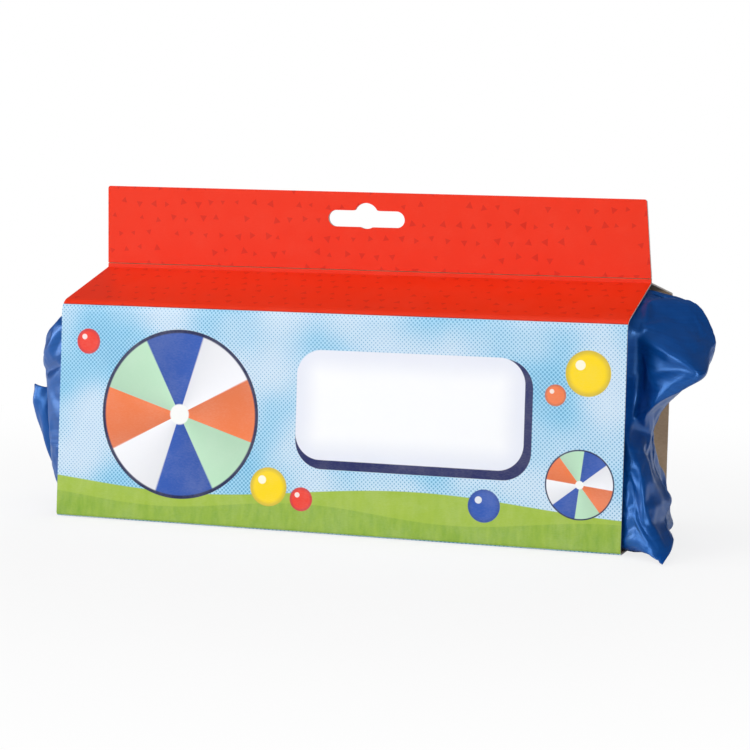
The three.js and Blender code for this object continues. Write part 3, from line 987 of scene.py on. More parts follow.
@dataclass
class Studio:
    """Camera, lamps, floor and backdrop."""

    azimuth: float = 18.942
    elevation: float = 5.084
    roll: float = 0.947
    distance: float = 828.23 * MM
    target: Vector = field(default_factory=lambda: Vector((3.539, 0.0, 57.938)) * MM)
    lens: float = 99.684
    sensor: float = 36.0
    fill_tint: Colour = (0.94, 0.97, 1.0, 1.0)
    fill_low: float = 0.18
    fill_rise: float = 0.13
    fill_from: Place = (-0.6, -0.8, 0.0)
    gloss_dim: float = -0.5
    straight_behind: Place = (-0.32, 0.94, 0.03)
    floor_grey: float = 0.9
    floor_radius: float = 6.0
    floor_drop: float = -0.4 * MM
    shadow_white: float = 0.8

    def build(self) -> None:
        """Set up the camera, the light and the floor."""
        bpy.context.scene.view_settings.view_transform = "Standard"
        self.add_camera()
        for box in SOFTBOXES:
            self.add_lamp(box)
        self.add_world()
        self.add_floor()

    def add_camera(self) -> None:
        """Place the camera at the viewing angle, with its small roll."""
        turn, rise, lean = (math.radians(a) for a in (self.azimuth, self.elevation, self.roll))
        level = math.cos(rise)
        ahead = Vector((-math.sin(turn) * level, math.cos(turn) * level, -math.sin(rise)))
        right = Vector((math.cos(turn), math.sin(turn), 0.0))
        upward = right.cross(ahead)
        rolled = right * math.cos(lean) + upward * math.sin(lean)
        top = upward * math.cos(lean) - right * math.sin(lean)
        data = bpy.data.cameras.new("camera")
        data.lens = self.lens
        data.sensor_width = self.sensor
        camera = bpy.data.objects.new("camera", data)
        turned = Matrix((rolled, top, -ahead)).transposed().to_4x4()
        camera.matrix_world = Matrix.Translation(self.target - ahead * self.distance) @ turned
        bpy.context.scene.collection.objects.link(camera)
        bpy.context.scene.camera = camera

    def add_lamp(self, box: Softbox) -> None:
        """Add a softbox that faces the pack.

        Args:
            box: The softbox.
        """
        data = bpy.data.lights.new(box.name, "AREA")
        data.size = box.side
        data.energy = box.watts
        lamp = bpy.data.objects.new(box.name, data)
        lamp.location = box.place
        aim = self.target - Vector(box.place)
        lamp.rotation_euler = aim.to_track_quat("-Z", "Y").to_euler()
        lamp.visible_glossy = box.mirrored
        bpy.context.scene.collection.objects.link(lamp)

    @staticmethod
    def seen_rays(nodes: Nodes) -> tuple[NodeSocket, NodeSocket]:
        """Tell the rays of the view from those of reflections.

        Args:
            nodes: The nodes of the world or of the floor.

        Returns:
            Whether a ray comes from the camera or through glass, and whether it is a reflection.
        """
        rays = nodes.add("ShaderNodeLightPath").outputs
        seen = nodes.math("MAXIMUM", rays["Is Camera Ray"], rays["Is Transmission Ray"])
        return seen, rays["Is Glossy Ray"]

    def add_world(self) -> None:
        """Fill with soft light, and show white behind the floor."""
        world = bpy.data.worlds.new("studio")
        world.use_nodes = True
        bpy.context.scene.world = world
        nodes = Nodes(world.node_tree)
        fill = world.node_tree.nodes["Background"]
        fill.inputs["Color"].default_value = self.fill_tint
        ray = nodes.add("ShaderNodeTexCoord").outputs["Generated"]
        facing = nodes.step(nodes.vector("DOT_PRODUCT", ray, self.fill_from), -0.3, 0.9)
        behind = nodes.step(nodes.vector("DOT_PRODUCT", ray, self.straight_behind), 0.97, 0.99)
        level = nodes.math("MULTIPLY_ADD", facing, self.fill_rise, self.fill_low)
        white = nodes.add("ShaderNodeBackground", {"Color": (1.0, 1.0, 1.0, 1.0), "Strength": 1.0})
        seen, glossy = self.seen_rays(nodes)
        dim = nodes.math("MULTIPLY_ADD", glossy, self.gloss_dim, 1.0)
        nodes.feed(fill.inputs["Strength"], nodes.math("MULTIPLY", level, dim))
        share = nodes.math("MAXIMUM", seen, nodes.math("MULTIPLY", glossy, behind))
        shown = nodes.add("ShaderNodeMixShader", {0: share, 1: fill.outputs[0], 2: white.outputs[0]})
        nodes.feed(world.node_tree.nodes["World Output"].inputs["Surface"], shown.outputs[0])

    def add_floor(self) -> None:
        """Lay a pale floor that keeps the pack's shadow."""
        bpy.ops.mesh.primitive_circle_add(
            vertices=96, radius=self.floor_radius, fill_type="NGON", location=(0, 0, self.floor_drop)
        )
        floor = added("studio_floor")
        material = bpy.data.materials.new("pale_floor")
        material.use_nodes = True
        nodes = Nodes(material.node_tree)
        shader = material.node_tree.nodes["Principled BSDF"]
        shader.inputs["Base Color"].default_value = (*[self.floor_grey] * 3, 1.0)
        shader.inputs["Roughness"].default_value = 0.9
        shader.inputs["Specular IOR Level"].default_value = 0.0
        glow = nodes.add("ShaderNodeEmission", {"Color": (1.0, 1.0, 1.0, 1.0), "Strength": 1.0})
        seen, glossy = self.seen_rays(nodes)
        away = nodes.vector("LENGTH", nodes.add("ShaderNodeTexCoord").outputs["Object"])
        near = nodes.step(away, 0.1, 0.45)
        white = nodes.math("MULTIPLY_ADD", near, 1.0 - self.shadow_white, self.shadow_white)
        mirrored = nodes.math("MULTIPLY", glossy, nodes.step(away, 0.5, 1.6))
        share = nodes.math("MAXIMUM", nodes.math("MULTIPLY", seen, white), mirrored)
        shown = nodes.add("ShaderNodeMixShader", {0: share, 1: shader.outputs[0], 2: glow.outputs[0]})
        nodes.feed(material.node_tree.nodes["Material Output"].inputs["Surface"], shown.outputs[0])
        floor.data.materials.append(material)


@dataclass(frozen=True)
class Crease:
    """A crease of the sleeve's section, on the middle of the board."""

    y: float
    z: float
    radius: float

    def at(self) -> Vector:
        """Give the crease's corner in the section's plane."""
        return Vector((self.y, self.z))


@dataclass
class Carton:
    """The creased board sleeve with its folding hang header."""

    finishes: Finishes
    length: float = 228 * MM
    board: float = 0.6 * MM
    crease_gap: float = 0.3 * MM
    ridge: Crease = Crease(0.0, 97.79 * MM, 0.0)
    front_top: Crease = Crease(-40.7 * MM, 85 * MM, 5 * MM)
    front_base: Crease = Crease(-40.7 * MM, 0.3 * MM, 1.5 * MM)
    back_base: Crease = Crease(40.7 * MM, 0.3 * MM, 1.5 * MM)
    back_top: Crease = Crease(40.7 * MM, 92 * MM, 1.5 * MM)
    lip_half: float = 0.65 * MM
    lip_top: float = 99.4 * MM
    back_lip_rise: float = 0.32 * MM
    header_foot: float = 99.7 * MM
    header_top: float = 131 * MM
    header_taper: float = 1.2 * MM
    header_corner: float = 1 * MM
    glue_line: float = 0.1 * MM
    slot_floor: float = 117 * MM
    slot_width: float = 32 * MM
    slot_height: float = 6.6 * MM
    hump_width: float = 9.5 * MM
    hump_height: float = 3.1 * MM
    slot_fillet: float = 1.5 * MM
    columns: int = 38
    rows: int = 12
    bend_steps: int = 5
    cutter_depth: float = 6 * MM
    nearby: float = 0.3 * MM

    def build(self) -> list[Object]:
        """Model and dress the sleeve and its header.

        Returns:
            The carton's pieces.
        """
        cage = self.warp_cage()
        skins = self.finishes
        creases = (self.ridge, self.front_top, self.front_base, self.back_base, self.back_top, self.ridge)
        walls = (
            ("front_panel", skins.upright_print),
            ("base_panel", skins.lying_print),
            ("back_panel", skins.upright_print),
        )
        pieces = []
        for first, (name, skin) in enumerate(walls):
            panel = self.wall(name, *creases[first : first + 4])
            pieces.append(self.finish_board(panel, f"sleeve_{name}", skin, Body.SLEEVE, cage))
        for side in Side:
            name = f"{side.name.lower()}_roof"
            roof = self.roof(name, side)
            node = f"sleeve_{name}"
            pieces.append(self.finish_board(roof, node, skins.lying_red, Body.SLEEVE, cage))
        for side in Side:
            node = f"header_{side.name.lower()}_ply"
            ply = self.ply(side)
            pieces.append(self.finish_board(ply, node, skins.upright_red, Body.HEADER, cage))
        bpy.data.objects.remove(cage)
        return pieces

    def warp_cage(self) -> Object:
        """Make the lattice by which the board has sprung a little out of true.

        Returns:
            The lattice object.
        """
        lean = ((-0.3, -2.3, 0.4), (-0.9, -2.7, -1.5))
        bows = {(0, 0): (-5.0, -3.1, -1.2), (1, 0): (-2.1, -1.3, -0.5), (1, 2): (0.0, 0.9, 1.9, 2.8)}
        across, deep, levels = 2, 3, 5
        bpy.ops.object.add(type="LATTICE", location=(0, 0, 66 * MM))
        cage = bpy.context.object
        data = cage.data
        data.points_u, data.points_v, data.points_w = across, deep, levels
        data.interpolation_type_u = "KEY_LINEAR"
        data.interpolation_type_v = "KEY_LINEAR"
        data.interpolation_type_w = "KEY_LINEAR"
        cage.scale = (self.length, 82 * MM, 132 * MM)
        for u in range(across):
            for v in range(deep):
                shifts = {w: (0.0, bow, 0.0) for w, bow in enumerate(bows.get((u, v), ()))}
                shifts[levels - 1] = lean[u]
                for w, shift in shifts.items():
                    point = data.points[u + across * (v + deep * w)]
                    move = Vector(s * MM / size for s, size in zip(shift, cage.scale))
                    point.co_deform = point.co_deform + move
        bpy.context.view_layer.update()
        return cage

    def strip(self, name: str, start: Vector, end: Vector) -> Object:
        """Add the flat part of a panel, outside face only, between two points of the section.

        Args:
            name: The object's name.
            start: The first point of its outer face.
            end: The last point.

        Returns:
            The sheet, facing out.
        """
        span = end - start
        middle = (start + end) / 2
        bpy.ops.mesh.primitive_grid_add(
            x_subdivisions=self.columns,
            y_subdivisions=self.rows,
            size=1.0,
            location=(0.0, middle.x, middle.y),
            rotation=(math.atan2(-span.y, -span.x), 0.0, 0.0),
        )
        bpy.context.object.scale = (self.length, span.length, 1.0)
        return added(name)

    def corner(self, before: Crease, crease: Crease, after: Crease) -> tuple[Vector, Vector, Vector, float]:
        """Work out the bend at a crease.

        Args:
            before: The crease before it.
            crease: The crease.
            after: The crease after it.

        Returns:
            Where the outer face enters and leaves the bend, its centre and its turn.
        """
        into = (crease.at() - before.at()).normalized()
        out = (after.at() - crease.at()).normalized()
        turn = math.atan2(into.x * out.y - into.y * out.x, into.dot(out))
        reach = crease.radius * math.tan(turn / 2)
        inward = Vector((-into.y, into.x))
        centre = crease.at() - into * reach + inward * crease.radius
        outer = crease.radius + self.board / 2
        enter = centre - inward * outer
        leave = centre - Vector((-out.y, out.x)) * outer
        return enter, leave, centre, turn

    @staticmethod
    def along(obj: Object, place: Vector) -> None:
        """Select the edge that runs along X through a point of the section."""
        choose_points(obj, lambda co: (Vector((co.y, co.z)) - place).length < 0.02 * MM)

    def fold_edge(self, obj: Object, place: Vector, centre: Vector, turn: float) -> None:
        """Bend a sheet on from one of its edges, by half of a crease.

        Args:
            obj: The sheet.
            place: The edge, in the section's plane.
            centre: The bend's centre.
            turn: The whole crease's turn, negative to bend back from the sheet's start.
        """
        radius = (place - centre).length
        half = abs(turn) / 2 - self.crease_gap / (2 * radius)
        self.along(obj, place)
        with editing(obj):
            bpy.ops.mesh.spin(
                steps=self.bend_steps,
                angle=-math.copysign(half, turn),
                center=(0.0, centre.x, centre.y),
                axis=(1.0, 0.0, 0.0),
            )

    def wall(self, name: str, before: Crease, start: Crease, end: Crease, after: Crease) -> Object:
        """Model a panel with half of the bend at each of its two creases.

        Args:
            name: The object's name.
            before: The crease before the panel's own.
            start: Its first crease.
            end: Its last crease.
            after: The crease after that.

        Returns:
            The panel's outer sheet.
        """
        _, first, first_centre, first_turn = self.corner(before, start, end)
        last, _, last_centre, last_turn = self.corner(start, end, after)
        panel = self.strip(name, first, last)
        self.fold_edge(panel, first, first_centre, -first_turn)
        self.fold_edge(panel, last, last_centre, last_turn)
        span = last - first
        face_outwards(panel, Vector((0.0, span.y, -span.x)))
        return panel

    def roof(self, name: str, side: Side) -> Object:
        """Model a roof panel, with half of its lower bend and the lip at the ridge.

        Args:
            name: The object's name.
            side: The side that it slopes to.

        Returns:
            The panel's outer sheet.
        """
        if side is Side.FRONT:
            edge, _, centre, turn = self.corner(self.ridge, self.front_top, self.front_base)
            slope = self.ridge.at() - self.front_top.at()
        else:
            _, edge, centre, turn = self.corner(self.back_base, self.back_top, self.ridge)
            slope = self.ridge.at() - self.back_top.at()
        rise = abs(edge.x) - self.lip_half
        ridge = Vector((side.value * self.lip_half, edge.y + rise * slope.y / abs(slope.x)))
        ends = (ridge, edge) if side is Side.FRONT else (edge, ridge)
        panel = self.strip(name, *ends)
        self.fold_edge(panel, edge, centre, turn if side is Side.FRONT else -turn)
        self.along(panel, ridge)
        top = self.lip_top + (self.back_lip_rise if side is Side.BACK else 0.0)
        with editing(panel):
            bpy.ops.mesh.extrude_region_move(TRANSFORM_OT_translate={"value": (0.0, 0.0, top - ridge.y)})
        face_outwards(panel, Vector((0.0, 0.3 * side.value, 1.0)))
        return panel

    def slot_cutter(self) -> Object:
        """Model the block that cuts the hang slot, with round ends and a raised middle.

        Returns:
            The cutter.
        """
        top = self.slot_floor + self.slot_height
        bpy.ops.mesh.primitive_cube_add(size=1.0, location=(0.0, 0.0, (self.slot_floor + top) / 2))
        bpy.context.object.scale = (self.slot_width, self.cutter_depth, self.slot_height)
        cutter = added("slot_cutter")
        choose_edges(cutter, lambda a, b: abs(a.y - b.y) > MM)
        with editing(cutter):
            bpy.ops.mesh.bevel(offset=0.499 * self.slot_height, segments=10, affect="EDGES")
        half = self.hump_width / 2
        radius = (half**2 + self.hump_height**2) / (2 * self.hump_height)
        bpy.ops.mesh.primitive_cylinder_add(
            vertices=64,
            radius=radius,
            depth=self.cutter_depth,
            location=(0.0, 0.0, top + self.hump_height - radius),
            rotation=(math.pi / 2, 0.0, 0.0),
        )
        hump = added("slot_hump")
        apply_modifier(cutter, "BOOLEAN", operation="UNION", object=hump, solver="EXACT")
        bpy.data.objects.remove(hump)
        near = self.nearby
        choose_edges(
            cutter,
            lambda a, b: abs(a.y - b.y) > MM and abs(a.z - top) < near and abs(abs(a.x) - half) < near,
        )
        with editing(cutter):
            bpy.ops.mesh.bevel(offset=0.8 * self.slot_fillet, segments=5, affect="EDGES")
        return cutter

    def ply(self, side: Side) -> Object:
        """Model one ply of the header, tapered, with its slot cut out.

        Args:
            side: The ply's side.

        Returns:
            The ply.
        """
        foot = self.header_foot + (self.back_lip_rise if side is Side.BACK else 0.0)
        height = self.header_top - foot
        middle = side.value * (self.glue_line + self.board) / 2
        bpy.ops.mesh.primitive_cube_add(size=1.0, location=(0.0, middle, foot + height / 2))
        bpy.context.object.scale = (self.length, self.board, height)
        ply = added(f"{side.name.lower()}_ply")
        choose_points(ply, lambda co: co.z > self.header_top - MM)
        with editing(ply):
            bpy.ops.transform.resize(value=(1 - 2 * self.header_taper / self.length, 1.0, 1.0))
        choose_edges(ply, lambda a, b: min(a.z, b.z) > self.header_top - MM and abs(a.x - b.x) < MM)
        with editing(ply):
            bpy.ops.mesh.bevel(offset=self.header_corner, segments=4, affect="EDGES")
        cutter = self.slot_cutter()
        apply_modifier(ply, "BOOLEAN", operation="DIFFERENCE", object=cutter, solver="EXACT")
        bpy.data.objects.remove(cutter)
        return ply

    def finish_board(
        self, board: Object, node: str, skin: Material,
        body: Body, cage: Object,
    ) -> Object:
        """Give a board its thickness, its warp and its three faces.

        Args:
            board: The sheet, or the solid ply.
            node: The solid that it stands for.
            skin: The finish of its outside.
            body: The body that it rides on.
            cage: The lattice that warps it.

        Returns:
            The finished piece.
        """
        for material in (skin, self.finishes.kraft, self.finishes.cut_edge):
            board.data.materials.append(material)
        if body is Body.SLEEVE:
            apply_modifier(
                board, "SOLIDIFY", thickness=self.board, offset=-1.0,
                use_even_offset=True, material_offset=1, material_offset_rim=2,
            )
        else:
            outside = -1.0 if "front" in node else 1.0
            for face in board.data.polygons:
                flat = outside * face.normal.y
                face.material_index = 2 if abs(flat) < 0.5 else (0 if flat > 0 else 1)
        for face in board.data.polygons:
            creased = body is Body.SLEEVE and abs(face.normal.x) < 0.5
            if face.material_index == 2 and (creased or face.normal.z < -0.5):
                face.material_index = 0
        apply_modifier(board, "LATTICE", object=cage)
        smooth(board)
        board.name = f"{node}_board"
        dress(board, body, node)
        return board


def rounded(corners: Sequence[Sequence[float]], radius: float) -> np.ndarray:
    """Round the inner corners of a line.

    Args:
        corners: The line's corners in a plane.
        radius: The radius of each bend.

    Returns:
        The points of the rounded line.
    """
    line = [np.array(c, dtype=float) for c in corners]
    points = [line[0]]
    for before, corner, after in zip(line, line[1:], line[2:]):
        into = (corner - before) / np.linalg.norm(corner - before)
        out = (after - corner) / np.linalg.norm(after - corner)
        turn = math.atan2(into[0] * out[1] - into[1] * out[0], float(into @ out))
        reach = radius * math.tan(abs(turn) / 2)
        normal = np.array((-into[1], into[0])) * math.copysign(radius, turn)
        centre = corner - into * reach + normal
        for angle in np.linspace(0.0, turn, 13):
            arm = -normal
            cosine, sine = math.cos(angle), math.sin(angle)
            turned = (arm[0] * cosine - arm[1] * sine, arm[0] * sine + arm[1] * cosine)
            points.append(centre + np.array(turned))
    points.append(line[-1])
    return np.array(points)


def evenly(line: np.ndarray, count: int) -> np.ndarray:
    """Read a line at even steps of its length.

    Args:
        line: The line's points.
        count: How many points to read.

    Returns:
        The points.
    """
    lengths = np.concatenate(([0.0], np.cumsum(np.linalg.norm(np.diff(line, axis=0), axis=1))))
    places = np.linspace(0.0, lengths[-1], count)
    return np.stack([np.interp(places, lengths, line[:, k]) for k in range(line.shape[1])], axis=1)


@dataclass(frozen=True)
class BagEnd:
    """How the bag closes at one end: where its cap starts, and the seam that it runs to.

    A seam knot gives its share of the way up, and then X, Y and Z in millimetres. The pinch of a
    panel says how soon it draws in to the seam, again by the share of the way up. Where the front
    swells into ears, lines of knots between the sleeve's edge and the seam stand in for it.
    """

    start: float
    seam: Sequence[Knot]
    front_pinch: Sequence[tuple[float, float]]
    back_pinch: Sequence[tuple[float, float]]
    front_lines: Sequence[Sequence[Knot]] = ()


@dataclass(frozen=True)
class Fold:
    """A soft ridge, or a valley where its height is negative, along a line in X and Z."""

    side: Side
    line: Sequence[tuple[float, float]]
    width: float
    height: float


def ear_line(*places: Place) -> tuple[Knot, ...]:
    """Put its share of the way up before each place on a line over the ears."""
    return tuple((share, *place) for share, place in zip(EAR_SHARES, places))


EAR_SHARES = (0.0, 0.12, 0.2, 0.25, 0.3, 0.35, 0.4, 0.46, 0.53, 0.59, 0.64, 0.69, 0.74, 0.81, 0.89, 1.0)
RIGHT_END = BagEnd(
    start=100.0,
    seam=ear_line(
        (127.0, -40.0, 1.3), (130.0, -50.0, 1.0), (132.3, -55.0, 1.0), (132.5, -42.0, 5.0),
        (126.9, -27.0, 11.2), (127.4, -20.0, 18.6), (121.6, -19.0, 28.5), (119.0, -14.0, 36.5),
        (118.6, -10.0, 44.0), (124.0, -18.0, 52.6), (133.0, -20.0, 62.0), (139.5, -17.0, 68.5),
        (141.0, -11.0, 76.0), (137.9, -8.0, 83.5), (132.8, -4.5, 90.3), (121.8, 0.0, 92.7),
    ),
    front_pinch=(),
    back_pinch=((0.0, 1.2), (0.25, 1.4), (0.4, 1.9), (0.55, 2.1), (0.7, 2.4), (1.0, 1.6)),
    front_lines=(
        ear_line(
            (112.0, 0.0, 1.1), (112.5, -20.0, 0.9), (113.0, -35.0, 0.9), (113.5, -40.0, 3.5),
            (113.5, -40.3, 11.0), (113.5, -40.3, 20.0), (113.0, -39.5, 28.5), (112.0, -37.0, 39.5),
            (111.5, -32.0, 48.5), (111.5, -29.0, 57.0), (111.5, -28.5, 65.5), (111.5, -29.5, 73.0),
            (112.0, -31.5, 79.5), (112.0, -29.0, 86.0), (112.0, -16.0, 91.8), (112.5, 0.0, 95.6),
        ),
        ear_line(
            (115.5, -6.0, 1.1), (116.0, -24.0, 1.0), (116.0, -38.0, 1.2), (116.3, -43.2, 4.5),
            (116.0, -42.8, 11.7), (115.6, -41.8, 20.2), (115.0, -40.0, 29.0), (114.0, -37.5, 39.8),
            (113.8, -29.5, 48.0), (115.0, -25.0, 56.5), (115.5, -26.0, 65.0), (115.3, -27.3, 72.8),
            (115.2, -29.2, 78.6), (115.5, -26.5, 84.8), (115.5, -15.5, 90.8), (114.3, 0.0, 94.3),
        ),
        ear_line(
            (119.0, -12.0, 1.2), (119.0, -28.0, 1.0), (119.0, -41.0, 1.6), (119.3, -45.5, 5.2),
            (118.7, -44.3, 12.2), (118.0, -42.5, 20.4), (117.3, -40.6, 29.5), (115.4, -37.2, 39.0),
            (115.0, -27.0, 47.0), (121.5, -34.0, 57.0), (121.5, -34.6, 64.5), (120.6, -32.8, 71.5),
            (120.8, -31.4, 76.6), (120.5, -23.5, 84.5), (119.0, -14.0, 90.6), (116.5, 0.0, 93.4),
        ),
        ear_line(
            (124.0, -28.0, 1.2), (126.0, -42.0, 1.0), (127.0, -50.0, 1.3), (127.5, -49.3, 4.5),
            (125.0, -46.6, 11.6), (123.2, -44.0, 20.5), (121.4, -41.0, 30.0), (118.0, -31.5, 37.5),
            (117.4, -20.5, 45.5), (124.9, -37.5, 55.0), (133.8, -38.8, 61.6), (139.6, -38.8, 67.0),
            (135.8, -36.5, 71.8), (131.5, -18.0, 83.0), (127.0, -8.5, 90.6), (119.6, 0.0, 92.9),
        ),
    ),
)
LEFT_END = BagEnd(
    start=-100.0,
    seam=(
        (0.00, -124.0, -12.0, 6.0), (0.20, -127.0, -14.0, 11.0), (0.35, -129.5, -15.0, 22.0),
        (0.50, -131.0, -15.0, 37.0), (0.60, -132.6, -15.0, 48.0), (0.65, -134.2, -15.0, 54.0),
        (0.70, -133.6, -15.0, 59.5), (0.76, -130.4, -14.5, 65.5), (0.83, -124.4, -13.0, 72.0),
        (0.90, -118.4, -10.0, 78.5), (1.00, -111.0, -2.0, 88.0),
    ),
    front_pinch=((0.0, 1.1), (0.4, 1.0), (0.6, 1.15), (0.72, 1.0), (0.82, 1.5), (1.0, 2.2)),
    back_pinch=((0.0, 1.4), (1.0, 1.4)),
)
BAG_FOLDS = (
    Fold(Side.FRONT, ((114.5, 79.0), (125.0, 75.2), (135.8, 71.2)), 1.3, 1.0),
    Fold(Side.FRONT, ((121.0, 67.0), (128.0, 68.0), (135.0, 69.5)), 0.9, -0.45),
    Fold(Side.FRONT, ((115.5, 92.0), (117.5, 86.0), (116.5, 81.5)), 1.6, 0.9),
    Fold(Side.FRONT, ((115.5, 81.0), (120.0, 83.0), (126.0, 84.5)), 1.5, 1.1),
    Fold(Side.FRONT, ((131.0, 80.0), (136.0, 77.5), (140.0, 75.5)), 1.6, 1.0),
    Fold(Side.FRONT, ((118.4, 54.0), (118.0, 45.0), (117.2, 37.0)), 1.1, 1.0),
    Fold(Side.FRONT, ((113.5, 41.5), (119.0, 36.5), (122.3, 31.0), (123.4, 20.5), (125.0, 12.0)), 1.8, 0.7),
    Fold(Side.FRONT, ((114.5, 31.0), (118.0, 29.5), (121.0, 24.0)), 1.6, 0.8),
    Fold(Side.FRONT, ((115.0, 8.0), (119.0, 12.0), (123.0, 7.0)), 1.4, -0.7),
    Fold(Side.FRONT, ((-118.0, 74.0), (-124.0, 66.0), (-131.0, 62.0)), 2.4, 1.4),
    Fold(Side.FRONT, ((-118.0, 60.0), (-126.0, 57.0), (-133.0, 55.0)), 2.0, -1.6),
)
MOUTH_LINE = (
    (0.00, -124.5, -15.0, 8.5),
    (0.25, -127.6, -16.0, 18.7),
    (0.50, -131.0, -16.5, 30.0),
    (0.75, -133.2, -16.5, 40.0),
    (1.00, -133.4, -16.0, 49.0),
)
MOUTH_WIDTHS = ((0.0, 0.25, 0.55, 0.8, 1.0), (3.6, 4.0, 5.0, 7.0, 6.4))
MOUTH_DEPTHS = ((0.0, 0.5, 0.85, 1.0), (3.0, 4.6, 4.4, 3.2))
CLOTH_SETTINGS = {
    "quality": 6,
    "mass": 0.05,
    "tension_stiffness": 20.0,
    "compression_stiffness": 20.0,
    "shear_stiffness": 5.0,
    "tension_damping": 1.0,
    "compression_damping": 1.0,
    "shear_damping": 1.0,
    "bending_damping": 0.05,
    "bending_stiffness": 0.03,
    "air_damping": 1.0,
    "use_pressure": True,
    "uniform_pressure_force": 0.15,
}


@dataclass
class StorageBag:
    """The shiny cloth bag: a front and a back panel sewn together, and the channel at its mouth.

    Its lengths are in millimetres.
    """

    finishes: Finishes
    floor: float = 1.1
    wall: float = 39.9
    front_eave: float = 84.4
    back_eave: float = 91.3
    ridge: float = 96.6
    corner: float = 12.0
    columns: int = 92
    end_rows: int = 36
    middle_rows: int = 50
    girth: float = 165.0
    cloth: float = 0.25
    fold_points: int = 40
    seam_rows: float = 5.0
    seam_columns: float = 4.0
    creases: int = 46
    crease_seed: int = 20
    crease_span: float = 110.0
    crease_margin: float = 6.0
    crease_slant: tuple[float, float] = (0.15, 0.95)
    crease_least: Place = (14.0, 2.2, 0.6)
    crease_most: Place = (40.0, 4.2, 1.5)
    crease_bow: float = 160.0
    crease_limit: float = 2.6
    broad_every: int = 4
    broad_scale: float = 4.0
    creased_to: tuple[float, float] = (108.0, 118.0)
    growth: float = 0.022
    cap: float = 7.0
    frames: int = 20
    free_from: float = 109.0
    free_to: float = 119.0
    stitches: int = 15
    stitch_radius: float = 0.22
    stitch_length: float = 1.9
    stitch_round: float = 0.08
    stitch_reach: tuple[float, float] = (0.05, 0.93)
    stitch_angle: float = 32.0
    hem_rings: int = 34
    hem_around: int = 41
    hem_length: float = 42.0
    hem_girth: float = 27.0
    hem_merge: float = 0.01

    def build(self) -> list[Object]:
        """Model and dress the bag.

        Returns:
            The bag's pieces.
        """
        panels = {side: self.settle(side, self.fold(side, self.panel(side))) for side in Side}
        panels = self.crumple(panels)
        pieces = [self.cloth_panel(side, points) for side, points in panels.items()]
        pieces += [self.mouth_hem(), self.mouth_stitches()]
        return pieces

    def section(self, side: Side) -> np.ndarray:
        """Give one side of the bag's section, from the middle of its floor to its top.

        Args:
            side: The side.

        Returns:
            Even points in Y and Z, in millimetres.
        """
        eave = self.front_eave if side is Side.FRONT else self.back_eave
        wall = self.wall * side.value
        corners = ((0.0, self.floor), (wall, self.floor), (wall, eave), (0.0, self.ridge))
        return evenly(rounded(corners, self.corner), self.columns)

    def cap_rows(self, end: BagEnd, side: Side) -> np.ndarray:
        """Run one panel from the sleeve's section to the seam at an end.

        Args:
            end: The end.
            side: The panel's side.

        Returns:
            Rows of points from the section to the seam, in millimetres.
        """
        shares = np.linspace(0.0, 1.0, self.columns)
        seam = smooth_line(end.seam, shares)
        section = self.section(side)
        if side is Side.FRONT and end.front_lines:
            held = np.column_stack([np.full(self.columns, end.start), section])
            lines = [held, *(smooth_line(line, shares) for line in end.front_lines), seam]
            knots = np.stack(lines)
            gaps = np.linalg.norm(np.diff(knots, axis=0), axis=2).mean(axis=1)
            stations = np.concatenate(([0.0], np.cumsum(gaps) / gaps.sum()))
            knots = knots.reshape(len(lines), -1)
            across = smooth_line(np.column_stack([stations, knots]), np.linspace(0.0, 1.0, self.end_rows))
            return across.reshape(self.end_rows, self.columns, 3)
        table = np.array(end.front_pinch if side is Side.FRONT else end.back_pinch)
        pinch = np.interp(shares, table[:, 0], table[:, 1])
        rows = []
        for angle in np.linspace(0.0, math.pi / 2, self.end_rows):
            keep = max(math.cos(angle), 0.0) ** pinch
            x = end.start + (seam[:, 0] - end.start) * math.sin(angle)
            y = seam[:, 1] + (section[:, 0] - seam[:, 1]) * keep
            z = seam[:, 2] + (section[:, 1] - seam[:, 2]) * keep
            rows.append(np.stack([x, y, z], axis=1))
        return np.array(rows)

    def panel(self, side: Side) -> np.ndarray:
        """Lay out one panel before it is crumpled.

        Args:
            side: The panel's side.

        Returns:
            Rows of points from the left seam to the right one, in millimetres.
        """
        left = self.cap_rows(LEFT_END, side)[::-1]
        right = self.cap_rows(RIGHT_END, side)
        section = self.section(side)
        middle = []
        for x in np.linspace(LEFT_END.start, RIGHT_END.start, self.middle_rows + 2)[1:-1]:
            middle.append(np.column_stack([np.full(self.columns, x), section]))
        return np.concatenate([left, np.array(middle), right])

    @staticmethod
    def normals(points: np.ndarray, side: Side) -> np.ndarray:
        """Give the outward direction at each point of a panel."""
        along = np.gradient(points, axis=0)
        up = np.gradient(points, axis=1)
        across = np.cross(along, up) * -side.value
        return across / np.maximum(np.linalg.norm(across, axis=2, keepdims=True), 1e-9)

    def fold(self, side: Side, points: np.ndarray) -> np.ndarray:
        """Press the folds of one panel into it.

        Args:
            side: The panel's side.
            points: Its rows of points.

        Returns:
            The folded rows.
        """
        normals = self.normals(points, side)
        lift = np.zeros(points.shape[:2])
        for fold in BAG_FOLDS:
            if fold.side is not side:
                continue
            line = evenly(np.array(fold.line), self.fold_points)
            gap = points[:, :, None, :][..., (0, 2)] - line[None, None]
            distance = np.linalg.norm(gap, axis=3)
            nearest = distance.argmin(axis=2) / (len(line) - 1)
            taper = np.sin(np.pi * np.clip(nearest, 0.04, 0.96)) ** 0.5
            lift += fold.height * taper * np.exp(-((distance.min(axis=2) / fold.width) ** 2))
        rows, columns = (np.arange(count) for count in points.shape[:2])
        seam = np.ones(points.shape[:2])
        for from_end in (rows, rows[::-1]):
            seam *= ease(0.0, self.seam_rows, from_end)[:, None]
        for from_edge in (columns, columns[::-1]):
            seam *= ease(0.0, self.seam_columns, from_edge)[None]
        return points + normals * (lift * seam)[..., None]

